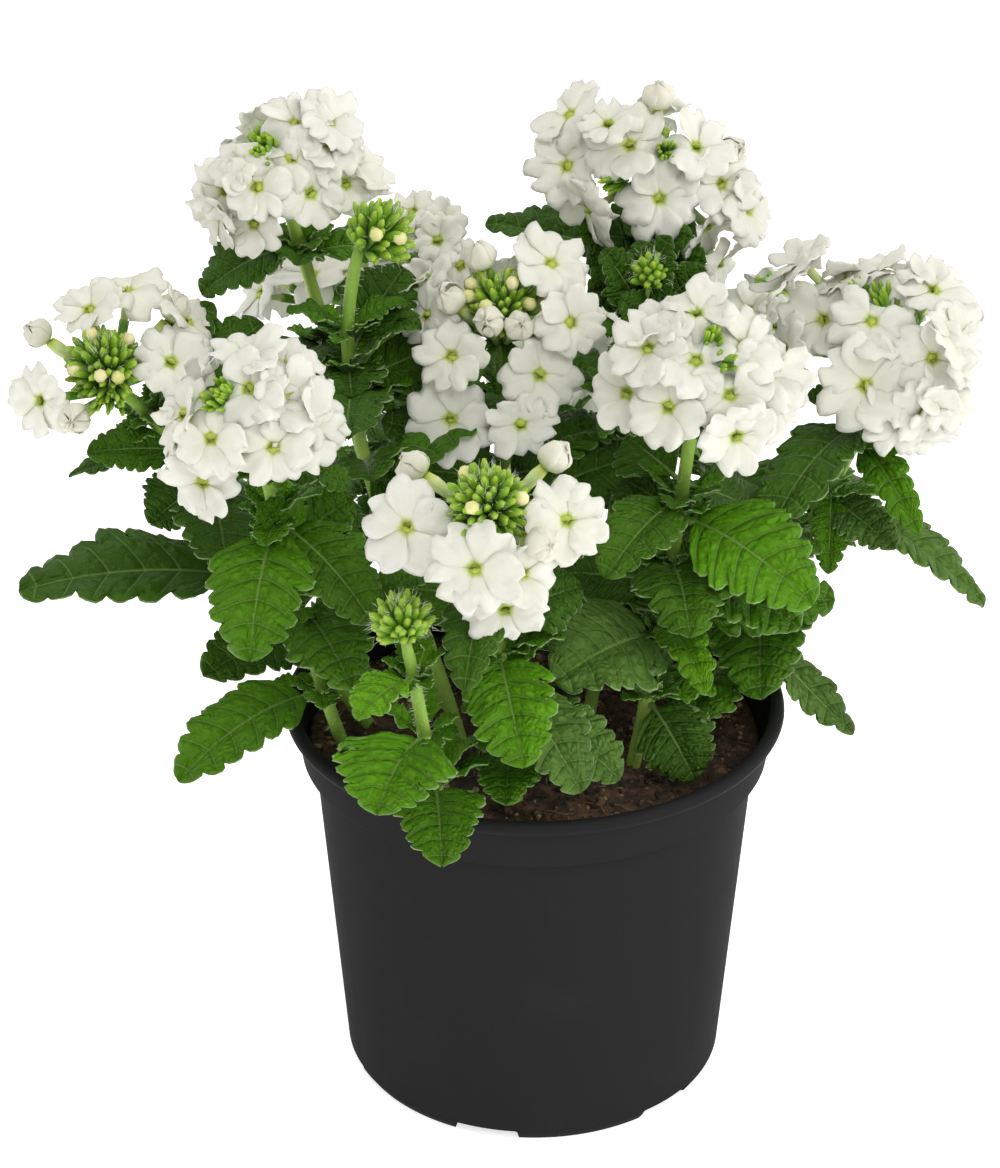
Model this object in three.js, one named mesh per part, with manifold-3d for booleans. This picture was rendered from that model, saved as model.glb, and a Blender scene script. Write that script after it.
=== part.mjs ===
// A white garden verbena in its round nursery pot, as it is sold for bedding and balcony boxes.
//
// The pot is one moulded shell that stands on six feet and on a small disc in the middle of its base.
// Potting soil fills it to just under the rim. Square stems rise out of plain holes in the soil. Each shoot
// is one solid: its stem, its toothed leaves, and the cluster of green buds at its tip. Each flower head's
// white corollas are one more solid: five-lobed florets on slender tubes, joined by a narrow ring round the
// stem just under the buds.
//
// Millimetres, +Z up, +X to the right and +Y to the back. The origin is on the pot's axis, at the surface
// that the pot stands on.
import * as THREE from "three";
import { mergeVertices } from "three/addons/utils/BufferGeometryUtils.js";
import Module from "manifold-3d";

const wasm = await Module();
wasm.setup();
const V = (x, y, z) => new THREE.Vector3(x, y, z);
const rad = THREE.MathUtils.degToRad;

// ---------------------------------------------------------------- driving dimensions
const POT_RADIUS = 60; // outside of the rolled lip: a 12 cm pot
const POT_HEIGHT = 98;
const BASE_RADIUS = 46.3;
const BODY_RADIUS = 53; // at the top of the tapered body
const COLLAR_RADIUS = 56; // at the bottom of the collar, the wider band under the lip
const COLLAR_HEIGHT = 13.5;
const MOUTH_RADIUS = 56.3; // inside the lip
const LIP_HEIGHT = 3;
const WALL = 1.3;
const FEET = 6;
const FOOT_HEIGHT = 3;
const FOOT_GAP = 16; // width of the slot between two feet
const FIRST_GAP = 45; // degrees from the front, to the right
const DRAIN_RADIUS = 3.2;
const DRAIN_CIRCLE = 29;
const STANDING_DISC = 14; // radius of the disc in the middle of the base that reaches the ground
const FLOOR_TOP = 4.4;
const ROUND_STEPS = 36;

const SOIL_TOP = 88.5;
const SOIL_STEPS = 24;
const GAP = 0.4; // between solids that touch on the real thing

const STEM_RADIUS = 1.9; // corner radius of the square stem
const STEM_STEPS = 5;
const STEM_DEPTH = 7; // how far a stem stands in the soil

const LEAF_THICKNESS = 1.3; // at the midrib
const PETIOLE_SHARE = 0.14; // of a leaf's length
const PETIOLE_WIDTH = 1.6;
const LEAF_FOLD = 0.3; // rise of the edges over the midrib, as a share of the half width
const LEAF_ARCH = 0.26; // rise of the midrib's control point, as a share of the length
const TOOTH = 0.13; // how far the edge steps in and out, as a share of the half width
const HAND_ROWS = 6;
const PAIR_ROWS = 3;
const CLEARANCE = 0.35; // least gap between a leaf and what it must not touch

const LIMB_RADIUS = 10.5; // of an open floret
const LIMB_INSET = 2.6; // depth of the throat's funnel under the limb
const LOBES = 5;
const LOBE_HALF = 23; // degrees from a lobe's middle to its corner
const LOBE_WAVE = 0.8;
const SLIT = 0.52; // where the slits between lobes end, as a share of the limb's radius
const THROAT = 1;
const BUD_RADIUS = 2.5; // of a floret about to open
const BUD_SIDES = 5;
const TUBE_RADIUS = 0.95;
const RING_RADIUS = 4.1; // middle of the ring that joins a head's tubes
const RING_HALF = 1.3; // half the ring's width
const RING_HEIGHT = 3.2;
const RECEPTACLE_RADIUS = 1.8;
const BUD_STALK = 2.5; // from the ring's middle to the nearest buds

// ---------------------------------------------------------------- finishes
const finish = (color, roughness) => new THREE.MeshStandardMaterial({ color, roughness, metalness: 0 });
const FINISHES = {
  plastic: finish(0x26282a, 0.45),
  soil: finish(0x3a261b, 1),
  green: finish(0x3f8a22, 0.6),
  petal: finish(0xf4f3ea, 0.55),
};

// ---------------------------------------------------------------- the plant's plan
// A shoot: where its stem leaves the soil, the middle of its flower head, the way the head faces, how far
// out the corollas stand, and the head's turn in degrees. "full" heads are covered with florets, "open" ones
// show their buds inside a ring of florets, and "buds" have not opened.
// hand: leaves set one by one, each as [share of the stem, tip x, y, z, width, roll].
// pairs: opposite leaves by rule, each pair as [share of the stem, compass degrees, length, width, pitch].
const SHOOTS = [
  {
    name: "top_left", kind: "full", foot: [-20, 12], head: [-59, 18, 224],
    axis: [-0.2, -0.3, 0.93], reach: 18, turn: 10,
    hand: [[0.86, -77, 10, 198, 15, -20], [0.84, -34, 24, 203, 13, 20]],
    pairs: [[0.66, 80, 30, 19, 8], [0.34, 75, 34, 22, -2]],
  },
  {
    name: "top_right", kind: "full", foot: [14, 18], head: [28, 45, 213],
    axis: [0.1, -0.3, 0.95], reach: 21, turn: 30,
    hand: [[0.83, -14, 45, 203, 16, -15]],
    pairs: [[0.78, 95, 26, 17, 10], [0.58, 20, 34, 22, 5], [0.34, 110, 34, 22, -4], [0.16, 10, 34, 24, 0]],
  },
  {
    name: "left_edge", kind: "open", foot: [-36, 5], head: [-96.5, -4, 181],
    axis: [-0.4, -0.7, 0.6], reach: 19.5, turn: 100,
    hand: [[0.84, -108, -4, 160, 13, 0], [0.8, -77, 8, 189, 16, 0], [0.38, -121, -8, 130, 19, -15],
      [0.24, -77, -24, 117, 22, -25]],
    pairs: [[0.58, 100, 32, 20, -6]],
  },
  {
    name: "left_front", kind: "full", foot: [-42, -12], head: [-62, -46, 192],
    axis: [-0.1, -0.5, 0.86], reach: 18.5, turn: 0,
    hand: [[0.7, -63, -66, 144, 23, 0], [0.7, -36, -56, 148, 18, 15], [0.46, -41, -58, 133, 20, 10],
      [0.24, -81, -50, 103, 19, -10]],
    pairs: [[0.84, 160, 20, 13, 0]],
  },
  {
    name: "centre_high", kind: "open", foot: [-3, 0], head: [-8, 8, 188],
    axis: [0, -0.4, 0.92], reach: 21, turn: 0,
    hand: [[0.8, -40, -6, 186, 17, 0]],
    pairs: [[0.82, 100, 22, 15, 10], [0.6, 20, 34, 22, 5], [0.36, 110, 34, 22, 0], [0.2, 10, 34, 24, 0]],
  },
  {
    name: "centre_low", kind: "open", foot: [-4, -30], head: [-11, -62, 176],
    axis: [0, -0.7, 0.7], reach: 19.5, turn: 0,
    hand: [[0.74, -16, -82, 146, 14, 0], [0.5, -3, -74, 122, 20, 10], [0.42, 10, -65, 110, 18, 15],
      [0.34, 19, -56, 108, 17, 20], [0.2, -7, -60, 104, 15, 0]],
    pairs: [[0.8, 20, 22, 15, -5]],
  },
  {
    name: "mid_right", kind: "full", foot: [22, -16], head: [36, -22, 191],
    axis: [0.05, -0.5, 0.86], reach: 19.5, turn: 40,
    hand: [[0.66, 15, -42, 152, 16, -15], [0.62, 62, -40, 144, 24, 25], [0.34, 4, -46, 128, 26, -30],
      [0.46, 60, -34, 135, 22, 15], [0.36, 38, -46, 125, 11, 0], [0.2, 37, -33, 94, 19, 20]],
    pairs: [[0.84, 10, 22, 15, 5], [0.5, 95, 34, 22, 0]],
  },
  {
    name: "right_edge", kind: "full", foot: [34, 4], head: [83, 10, 181],
    axis: [0.2, -0.4, 0.88], reach: 20, turn: 15,
    hand: [[0.8, 52, -26, 154, 18, 0], [0.76, 88, -14, 149, 13, 0], [0.6, 106, -5, 125, 14, 0],
      [0.36, 52, -26, 112, 23, 15], [0.28, 77, -3, 89, 13, -25]],
    pairs: [[0.86, 80, 20, 14, 5], [0.5, 60, 34, 22, 0], [0.18, 70, 30, 22, 0]],
  },
  {
    name: "back_centre", kind: "full", foot: [-8, 26], head: [-25, 50, 190],
    axis: [-0.1, 0.1, 0.99], reach: 18, turn: 60,
    hand: [], pairs: [[0.76, 75, 28, 19, 8], [0.46, 150, 34, 22, -4]],
  },
  {
    name: "back_right", kind: "full", foot: [30, 26], head: [54, 54, 170],
    axis: [0.35, 0.2, 0.9], reach: 18, turn: 0,
    hand: [], pairs: [[0.78, 40, 26, 17, 4], [0.56, 120, 34, 22, 0], [0.32, 30, 34, 20, -8]],
  },
  {
    name: "back_left", kind: "open", foot: [-24, 32], head: [-52, 68, 170],
    axis: [-0.25, 0.35, 0.9], reach: 18, turn: 45,
    hand: [], pairs: [[0.76, 150, 26, 17, 4], [0.52, 60, 34, 22, 0], [0.3, 140, 34, 20, -8]],
  },
  {
    name: "back_low", kind: "full", foot: [4, 38], head: [8, 84, 146],
    axis: [0, 0.5, 0.86], reach: 18, turn: 20,
    hand: [], pairs: [[0.74, 0, 26, 17, 0], [0.5, 90, 30, 20, -6]],
  },
  {
    name: "bud_left", kind: "buds", foot: [-16, -7], head: [-41, 0, 209],
    axis: [0.2, -0.1, 0.97], reach: 7.5, turn: 0,
    hand: [[0.72, -42, -36, 184, 18, 0], [0.76, -22, -6, 191, 16, 0]],
    pairs: [[0.86, 10, 16, 10, 30], [0.46, 30, 30, 20, 0]],
  },
  {
    name: "bud_front", kind: "buds", foot: [-19, -38], head: [-28, -72, 149],
    axis: [-0.15, -0.2, 0.97], reach: 6, turn: 0,
    hand: [[0.9, -39, -84, 140, 13, 0], [0.62, -35, -90, 120, 26, 0], [0.32, -21, -82, 102, 19, 0]],
    pairs: [],
  },
  {
    name: "bud_centre", kind: "buds", foot: [12, 3], head: [26, 16, 195],
    axis: [0.05, -0.3, 0.95], reach: 6, turn: 0,
    hand: [], pairs: [[0.86, 60, 20, 15, 25], [0.7, 150, 26, 18, 5]],
  },
  {
    name: "leafy_back", kind: "buds", foot: [-34, 20], head: [-66, 32, 138],
    axis: [-0.5, 0.3, 0.8], reach: 4.5, turn: 0,
    hand: [], pairs: [[0.84, 150, 24, 15, 5], [0.54, 60, 30, 19, -6]],
  },
];

// ---------------------------------------------------------------- solids
// An even, repeatable spread of values from -1 to 1.
const vary = (i, k) => (((i + 1) * 0.6180339887 + (k + 1) * 0.7548776662) % 1) * 2 - 1;

// A closed geometry, or lists of points and triangles, as a solid that can be joined and cut.
function solidOf(geometry) {
  geometry.deleteAttribute("normal");
  geometry.deleteAttribute("uv");
  const merged = mergeVertices(geometry, 1e-4);
  return new wasm.Manifold(new wasm.Mesh({
    numProp: 3,
    vertProperties: merged.attributes.position.array,
    triVerts: new Uint32Array(merged.index.array),
  }));
}

function solidOfPoints(points, triangles) {
  return new wasm.Manifold(new wasm.Mesh({
    numProp: 3,
    vertProperties: new Float32Array(points.flatMap((p) => [p.x, p.y, p.z])),
    triVerts: new Uint32Array(triangles.flat()),
  }));
}

// The largest body of a solid: scraps that a join leaves loose are dropped.
function wholeBody(solid) {
  return solid.decompose().reduce((a, b) => (b.volume() > a.volume() ? b : a));
}

function meshOf(solid, name, material) {
  const body = wholeBody(solid.simplify(0.02));
  const { vertProperties, triVerts } = body.getMesh();
  const geometry = new THREE.BufferGeometry();
  geometry.setAttribute("position", new THREE.BufferAttribute(new Float32Array(vertProperties), 3));
  geometry.setIndex(new THREE.BufferAttribute(new Uint32Array(triVerts), 1));
  const mesh = new THREE.Mesh(geometry, material);
  mesh.name = name;
  return mesh;
}

// A profile of [radius, height] pairs turned about the Z axis.
function turned(profile, steps = ROUND_STEPS) {
  const geometry = new THREE.LatheGeometry(profile.map(([r, z]) => new THREE.Vector2(r, z)), steps);
  return solidOf(geometry.rotateX(Math.PI / 2));
}

// ---------------------------------------------------------------- pot
function makePot() {
  const collarBottom = POT_HEIGHT - COLLAR_HEIGHT;
  const shell = turned([
    [0, 0],
    [STANDING_DISC, 0],
    [STANDING_DISC + 2, FOOT_HEIGHT],
    [BASE_RADIUS - 11, FOOT_HEIGHT],
    [BASE_RADIUS - 9.5, 0],
    [BASE_RADIUS - 1.6, 0],
    [BASE_RADIUS, 2.4],
    [BODY_RADIUS, collarBottom - 0.8],
    [COLLAR_RADIUS, collarBottom],
    [COLLAR_RADIUS + 1.4, POT_HEIGHT - LIP_HEIGHT - 0.2],
    [POT_RADIUS - 0.4, POT_HEIGHT - LIP_HEIGHT],
    [POT_RADIUS, POT_HEIGHT - LIP_HEIGHT / 2],
    [POT_RADIUS - 0.9, POT_HEIGHT],
    [MOUTH_RADIUS + 1.3, POT_HEIGHT],
    [MOUTH_RADIUS, POT_HEIGHT - LIP_HEIGHT / 2],
    [MOUTH_RADIUS - WALL, collarBottom + 1.2],
    [BODY_RADIUS - WALL, collarBottom - 0.8],
    [BASE_RADIUS - WALL - 0.2, FLOOR_TOP + 1.5],
    [BASE_RADIUS - WALL - 2.2, FLOOR_TOP],
    [0, FLOOR_TOP],
  ]);
  const cuts = [];
  for (let i = 0; i < FEET; i++) {
    const angle = rad(FIRST_GAP - 90 + (i * 360) / FEET);
    const slot = new THREE.BoxGeometry(16, FOOT_GAP, FOOT_HEIGHT + 2);
    slot.translate(BASE_RADIUS - 4, 0, FOOT_HEIGHT / 2 - 1);
    cuts.push(solidOf(slot.rotateZ(angle)));
    const drain = new THREE.CylinderGeometry(DRAIN_RADIUS, DRAIN_RADIUS, 12, 8);
    drain.rotateX(Math.PI / 2).translate(DRAIN_CIRCLE, 0, 3);
    cuts.push(solidOf(drain.rotateZ(angle)));
  }
  return wasm.Manifold.difference([shell, ...cuts]);
}

// ---------------------------------------------------------------- soil
// Height of the soil's surface: lumpy, a little lower towards the wall.
function soilHeight(x, y) {
  const r = Math.hypot(x, y);
  const lumps = 0.6 * Math.sin(x * 0.21 + 1) * Math.cos(y * 0.17) + 0.35 * Math.sin(x * 0.5 + y * 0.43);
  return SOIL_TOP - 1.6 * (r / 54) ** 2 + lumps;
}

function makeSoil(holes) {
  const fit = GAP + WALL;
  const shoulder = POT_HEIGHT - COLLAR_HEIGHT - 0.8;
  const surface = [39, 22, 0].map((r) => [r, SOIL_TOP]);
  const profile = [
    [0, FLOOR_TOP + GAP],
    [BASE_RADIUS - fit - 2.6, FLOOR_TOP + GAP],
    [BASE_RADIUS - fit - 0.4, FLOOR_TOP + 1.9],
    [BODY_RADIUS - fit - 0.2, shoulder],
    [MOUTH_RADIUS - fit - 0.4, SOIL_TOP],
    ...surface,
  ];
  const outline = profile.map(([r, z]) => new THREE.Vector2(r, z));
  const geometry = new THREE.LatheGeometry(outline, SOIL_STEPS).rotateX(Math.PI / 2);
  const at = geometry.attributes.position;
  for (let i = 0; i < at.count; i++)
    if (at.getZ(i) > SOIL_TOP - 0.1) at.setZ(i, soilHeight(at.getX(i), at.getY(i)));
  return wasm.Manifold.difference([solidOf(geometry), ...holes]);
}

// ---------------------------------------------------------------- stems
// A stem leans out of the soil, bends upright and arrives at its head along the head's axis.
function stemCurve(shoot, depth = STEM_DEPTH) {
  const head = V(...shoot.head);
  const axis = V(...shoot.axis).normalize();
  const [x, y] = shoot.foot;
  const foot = V(x, y, soilHeight(x, y) - depth);
  const lean = foot.clone().lerp(head, 0.4).add(V(x * 0.1, y * 0.1, 0));
  const arrive = head.clone().addScaledVector(axis, (foot.z - head.z) * 0.35);
  return new THREE.CubicBezierCurve3(foot, lean, arrive, head);
}

function makeStem(curve, radius = STEM_RADIUS, steps = STEM_STEPS) {
  const corners = [45, 135, 225, 315].map((a) => new THREE.Vector2(Math.cos(rad(a)), Math.sin(rad(a))));
  const square = new THREE.Shape(corners.map((corner) => corner.multiplyScalar(radius)));
  return solidOf(new THREE.ExtrudeGeometry(square, { steps, extrudePath: curve, bevelEnabled: false }));
}

// ---------------------------------------------------------------- leaves
// Half width of a leaf's blade at a share of its length, from the end of its stalk to its tip.
const bladeShape = (u) => Math.sin(Math.PI * u ** 0.8) ** 0.6;

// A leaf from its foot to its tip: a stalk, then a folded blade whose edge steps in and out in blunt teeth.
// Its section is a flat V, thickest at the midrib.
function makeLeaf(foot, tip, width, rows, roll) {
  const along = tip.clone().sub(foot);
  const length = along.length();
  along.normalize();
  const side = along.clone().cross(V(0, 0, 1)).normalize().applyAxisAngle(along, rad(roll));
  const up = side.clone().cross(along);
  const crown = foot.clone().lerp(tip, 0.5).addScaledVector(up, length * LEAF_ARCH);
  const midrib = new THREE.QuadraticBezierCurve3(foot, crown, tip);
  const points = [];
  const triangles = [];
  const quad = (a, b, c, d) => triangles.push([a, b, c], [a, c, d]);
  for (let row = -1; row <= rows; row++) {
    const u = Math.max(0, row) / (rows + 1);
    const at = midrib.getPoint(row < 0 ? 0 : PETIOLE_SHARE + (1 - PETIOLE_SHARE) * u);
    const normal = side.clone().cross(midrib.getTangent(u)).normalize();
    const tooth = row % 2 ? TOOTH : -TOOTH;
    const half = row < 1 ? PETIOLE_WIDTH / 2 : (width / 2) * bladeShape(u) * (1 + tooth);
    const rise = row < 1 ? -LEAF_THICKNESS / 2 : half * (LEAF_FOLD - tooth);
    const edge = at.clone().addScaledVector(normal, rise);
    const under = at.clone().addScaledVector(normal, -LEAF_THICKNESS);
    points.push(edge.clone().addScaledVector(side, -half), at, edge.addScaledVector(side, half), under);
  }
  points.push(tip.clone());
  quad(0, 3, 2, 1);
  const last = 4 * (rows + 1);
  // Each face is split from the blade's edge towards the midrib, so that its two sides never cross.
  for (const [a, b] of [[0, 1], [1, 2], [2, 3], [3, 0]]) {
    for (let k = 0; k < last; k += 4)
      if (a % 2) quad(k + b, k + 4 + b, k + 4 + a, k + a);
      else quad(k + a, k + b, k + 4 + b, k + 4 + a);
    triangles.push([last + a, last + b, last + 4]);
  }
  return solidOfPoints(points, triangles);
}

// The ways a leaf may be bent about its foot to clear its neighbours: degrees of turn and of pitch.
const BENDS = [[0, 0]];
for (const step of [9, 18, 27, 36]) {
  BENDS.push([0, step], [0, -step], [step, 0], [-step, 0]);
  BENDS.push([step, step], [-step, step], [step, -step], [-step, -step]);
}

function bentTip(foot, tip, [turn, pitch]) {
  const along = tip.clone().sub(foot);
  const side = along.clone().cross(V(0, 0, 1)).normalize();
  return foot.clone().add(along.applyAxisAngle(side, rad(pitch)).applyAxisAngle(V(0, 0, 1), rad(turn)));
}

// Every leaf of a shoot before bending: its foot on the stem, tip, width, rows of teeth and roll.
function leavesOf(shoot, curve) {
  const leaves = shoot.hand.map(([share, x, y, z, width, roll]) => ({
    foot: curve.getPoint(share), tip: V(x, y, z), width, rows: HAND_ROWS, roll,
  }));
  for (const [share, compass, length, width, pitch] of shoot.pairs)
    for (const half of [0, 180]) {
      const foot = curve.getPoint(share);
      const flat = length * Math.cos(rad(pitch));
      const turn = rad(compass + half);
      const reach = V(flat * Math.cos(turn), flat * Math.sin(turn), length * Math.sin(rad(pitch)));
      leaves.push({ foot, tip: foot.clone().add(reach), width, rows: PAIR_ROWS, roll: 0 });
    }
  return leaves;
}

// ---------------------------------------------------------------- flower heads
// A frame for a head: its axis and two directions across it.
function headFrame(shoot) {
  const axis = V(...shoot.axis).normalize();
  const first = V(1, 0, 0).addScaledVector(axis, -axis.x).normalize();
  return { centre: V(...shoot.head), axis, first, second: axis.clone().cross(first) };
}

// Carries what is built about the origin, along Z, to a place in a head's frame.
function headMatrix({ first, second, axis }, place) {
  return new THREE.Matrix4().makeBasis(first, second, axis).setPosition(place);
}

// Where a head's corollas stand: [degrees from the axis, degrees round it, share of the reach, half open].
function floretPlaces(shoot) {
  const places = [];
  const ring = (count, polar, share, offset, closed = false) => {
    for (let i = 0; i < count; i++)
      places.push([
        polar + 4 * vary(i, count), shoot.turn + offset + (360 * i) / count + 3 * vary(i, 3),
        share + 0.05 * (i % 2 ? 1 : -1), closed,
      ]);
  };
  if (shoot.kind === "full") {
    ring(6, 84, 1, 0);
    ring(3, 34, 1.16, 30);
  }
  if (shoot.kind === "open") {
    ring(6, 80, 1.02, 0);
    ring(4, 56, 0.84, 30, true);
  }
  return places;
}

// The ways a floret may be shifted to clear its neighbours: degrees nearer the axis, degrees round it and
// the share of its reach that it keeps.
const SHIFTS = [
  [0, 0, 1], [10, 0, 1], [0, 12, 1], [0, -12, 1], [10, 12, 1], [10, -12, 1], [-8, 0, 1], [20, 0, 1],
  [0, 0, 0.85], [12, 0, 0.85], [0, 14, 0.85], [0, -14, 0.85], [20, 14, 0.85], [20, -14, 0.85],
];

// The unit direction at an angle from one direction towards another, square to it.
function between(a, b, angle) {
  return a.clone().multiplyScalar(Math.cos(angle)).addScaledVector(b, Math.sin(angle));
}

// A floret: a slender tube that widens into a shallow funnel with five broad lobes, or into a bud about to
// open.
function makeFloret(frame, place, reach, spin, [inward, aside, nearer]) {
  const [polar, round, share, closed] = place;
  const turn = rad(round + aside);
  const tilt = rad(polar - inward);
  const out = between(frame.first, frame.second, turn);
  const way = between(frame.axis, out, tilt);
  const foot = frame.centre.clone().addScaledVector(out, RING_RADIUS);
  const face = frame.centre.clone().addScaledVector(way, reach * share * nearer);
  const normal = way.clone().addScaledVector(frame.axis, closed ? 0 : 0.3).normalize();
  const across = frame.axis.clone().cross(out);
  const upward = normal.clone().cross(across);
  const at = (angle, radius, height) => face.clone()
    .addScaledVector(across, radius * Math.cos(rad(angle)))
    .addScaledVector(upward, radius * Math.sin(rad(angle)))
    .addScaledVector(normal, height);
  const rim = closed ? BUD_SIDES : 3 * LOBES;
  const points = [];
  const triangles = [];
  for (let i = 0; i < rim; i++) {
    const corner = closed ? 0 : i % 3;
    const lobe = closed ? i : Math.floor(i / 3);
    const angle = spin + (360 / LOBES) * lobe + [-180 / LOBES, -LOBE_HALF, LOBE_HALF][corner];
    if (closed) points.push(at(angle, BUD_RADIUS, 0));
    else if (corner) points.push(at(angle, LIMB_RADIUS, LOBE_WAVE * vary(i, 1)));
    else points.push(at(angle, LIMB_RADIUS * SLIT, 0));
  }
  points.push(at(0, 0, closed ? BUD_RADIUS * 1.2 : -THROAT));
  const neck = rim + 1;
  for (const [point, radius] of [[at(0, 0, -LIMB_INSET), TUBE_RADIUS * 1.3], [foot, TUBE_RADIUS]])
    for (let k = 0; k < 3; k++) {
      const angle = rad(spin + 120 * k);
      const corner = point.clone().addScaledVector(across, radius * Math.cos(angle));
      points.push(corner.addScaledVector(upward, radius * Math.sin(angle)));
    }
  for (let i = 0; i < rim; i++) {
    const next = (i + 1) % rim;
    const side = Math.floor((3 * i) / rim);
    const nextSide = Math.floor((3 * next) / rim);
    triangles.push([i, next, rim], [next, i, neck + side]);
    if (nextSide !== side) triangles.push([next, neck + side, neck + nextSide]);
  }
  for (let k = 0; k < 3; k++) {
    const [a, b] = [neck + k, neck + ((k + 1) % 3)];
    triangles.push([b, a, a + 3], [b, a + 3, b + 3]);
  }
  triangles.push([neck + 3, neck + 5, neck + 4]);
  return solidOfPoints(points, triangles);
}

// The ring round the stem that a head's tubes grow from.
function makeRing(frame) {
  const [inner, outer, half] = [RING_RADIUS - RING_HALF, RING_RADIUS + RING_HALF, RING_HEIGHT / 2];
  const corners = [[inner, -half], [outer, -half], [outer, half], [inner, half], [inner, -half]];
  const geometry = new THREE.LatheGeometry(corners.map(([r, z]) => new THREE.Vector2(r, z)), 6);
  geometry.rotateX(Math.PI / 2).applyMatrix4(headMatrix(frame, frame.centre));
  return solidOf(geometry);
}

const budSize = (shoot) => ({ full: 5, open: 8, buds: shoot.reach })[shoot.kind];

// The green buds at a shoot's tip: a rounded cluster whose surface is raised in points.
function makeBuds(shoot, frame) {
  const size = budSize(shoot);
  const geometry = new THREE.IcosahedronGeometry(size, size > 5 ? 1 : 0);
  geometry.deleteAttribute("normal");
  geometry.deleteAttribute("uv");
  const merged = mergeVertices(geometry, 1e-3);
  const at = merged.attributes.position;
  const corner = V(0, 0, 0);
  for (let i = 0; i < at.count; i++) {
    corner.fromBufferAttribute(at, i);
    const pointed = i % 2 ? 1.22 : 0.82;
    at.setXYZ(i, corner.x * pointed, corner.y * pointed, corner.z * pointed * 0.8);
  }
  const middle = frame.centre.clone().addScaledVector(frame.axis, BUD_STALK + size);
  return solidOf(merged.applyMatrix4(headMatrix(frame, middle)));
}

// The receptacle carries a head's ring and buds, straight on from the stem.
function makeReceptacle(shoot, frame) {
  const start = frame.centre.clone().addScaledVector(frame.axis, -0.5);
  const end = frame.centre.clone().addScaledVector(frame.axis, BUD_STALK + budSize(shoot));
  return makeStem(new THREE.LineCurve3(start, end), RECEPTACLE_RADIUS, 1);
}

// ---------------------------------------------------------------- putting the plant together
// Solids that other nodes' pieces have to clear, each with the node it belongs to.
const standing = [];
function stand(node, solid) {
  standing.push({ node, solid, box: solid.boundingBox() });
}

function isClear(solid, node) {
  const { min, max } = solid.boundingBox();
  const isApart = ({ box }) => [0, 1, 2].some((k) => (
    min[k] > box.max[k] + CLEARANCE || max[k] < box.min[k] - CLEARANCE
  ));
  return standing.every((other) => (
    other.node === node || isApart(other) || solid.minGap(other.solid, CLEARANCE * 1.5) >= CLEARANCE
  ));
}

// The first of a piece's positions that clears every other node; a piece with none is left off.
function placeFirstClear(node, parts, positions, make) {
  for (const position of positions) {
    const solid = make(position);
    if (!isClear(solid, node)) continue;
    parts.push(solid);
    stand(node, solid);
    return;
  }
}

const curves = SHOOTS.map((shoot) => stemCurve(shoot));
const frames = SHOOTS.map(headFrame);
const pot = makePot();
const holes = SHOOTS.map((shoot) => makeStem(stemCurve(shoot, STEM_DEPTH + GAP), STEM_RADIUS + GAP * 1.5));
const soil = makeSoil(holes);
stand("pot", pot);
stand("soil", soil);

const greens = SHOOTS.map((shoot, i) => {
  const parts = [makeStem(curves[i]), makeReceptacle(shoot, frames[i]), makeBuds(shoot, frames[i])];
  parts.forEach((solid) => stand(`shoot_${shoot.name}`, solid));
  return parts;
});

const whites = SHOOTS.map((shoot, i) => {
  const places = floretPlaces(shoot);
  const parts = places.length ? [makeRing(frames[i])] : [];
  places.forEach((place, k) => {
    const make = (shift) => makeFloret(frames[i], place, shoot.reach, 36 * vary(k, 5), shift);
    placeFirstClear(`florets_${shoot.name}`, parts, SHIFTS, make);
  });
  return parts;
});

SHOOTS.forEach((shoot, i) => leavesOf(shoot, curves[i]).forEach(({ foot, tip, width, rows, roll }) => {
  const make = (bend) => makeLeaf(foot, bentTip(foot, tip, bend), width, rows, roll);
  placeFirstClear(`shoot_${shoot.name}`, greens[i], BENDS, make);
}));

const verbena = new THREE.Group();
verbena.add(meshOf(pot, "pot", FINISHES.plastic));
verbena.add(meshOf(soil, "soil", FINISHES.soil));
SHOOTS.forEach(({ name }, i) => {
  verbena.add(meshOf(wasm.Manifold.union(greens[i]), `shoot_${name}`, FINISHES.green));
  if (!whites[i].length) return;
  verbena.add(meshOf(wasm.Manifold.union(whites[i]), `florets_${name}`, FINISHES.petal));
});
export default verbena;
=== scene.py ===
"""A white garden verbena in its round nursery pot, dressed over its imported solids.

The plant is laid out in millimetres from one plan, and each finished piece is scaled to metres. +Z is up, +X to
the right and +Y to the back. The origin is on the pot's axis, at the surface that the pot stands on.
"""
import logging
import math
import random
from dataclasses import dataclass
from enum import Enum
from typing import Callable, ClassVar, Iterable, Sequence

import bmesh
import bpy
from mathutils import Matrix, Quaternion, Vector, noise
from mathutils.kdtree import KDTree


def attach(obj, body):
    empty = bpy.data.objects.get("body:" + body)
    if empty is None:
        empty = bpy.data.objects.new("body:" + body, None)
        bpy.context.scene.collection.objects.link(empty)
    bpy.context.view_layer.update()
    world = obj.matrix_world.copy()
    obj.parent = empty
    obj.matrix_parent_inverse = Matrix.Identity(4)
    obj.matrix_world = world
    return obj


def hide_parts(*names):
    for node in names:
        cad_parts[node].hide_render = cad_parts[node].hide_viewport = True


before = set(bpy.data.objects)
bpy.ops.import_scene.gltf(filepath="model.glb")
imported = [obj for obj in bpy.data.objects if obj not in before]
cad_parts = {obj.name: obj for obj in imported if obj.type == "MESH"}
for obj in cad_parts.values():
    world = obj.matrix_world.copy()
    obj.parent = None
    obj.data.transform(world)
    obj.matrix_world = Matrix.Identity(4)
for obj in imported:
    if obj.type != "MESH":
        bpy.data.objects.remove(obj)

log = logging.getLogger("verbena")
MM = 0.001
UP = Vector((0.0, 0.0, 1.0))
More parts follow.
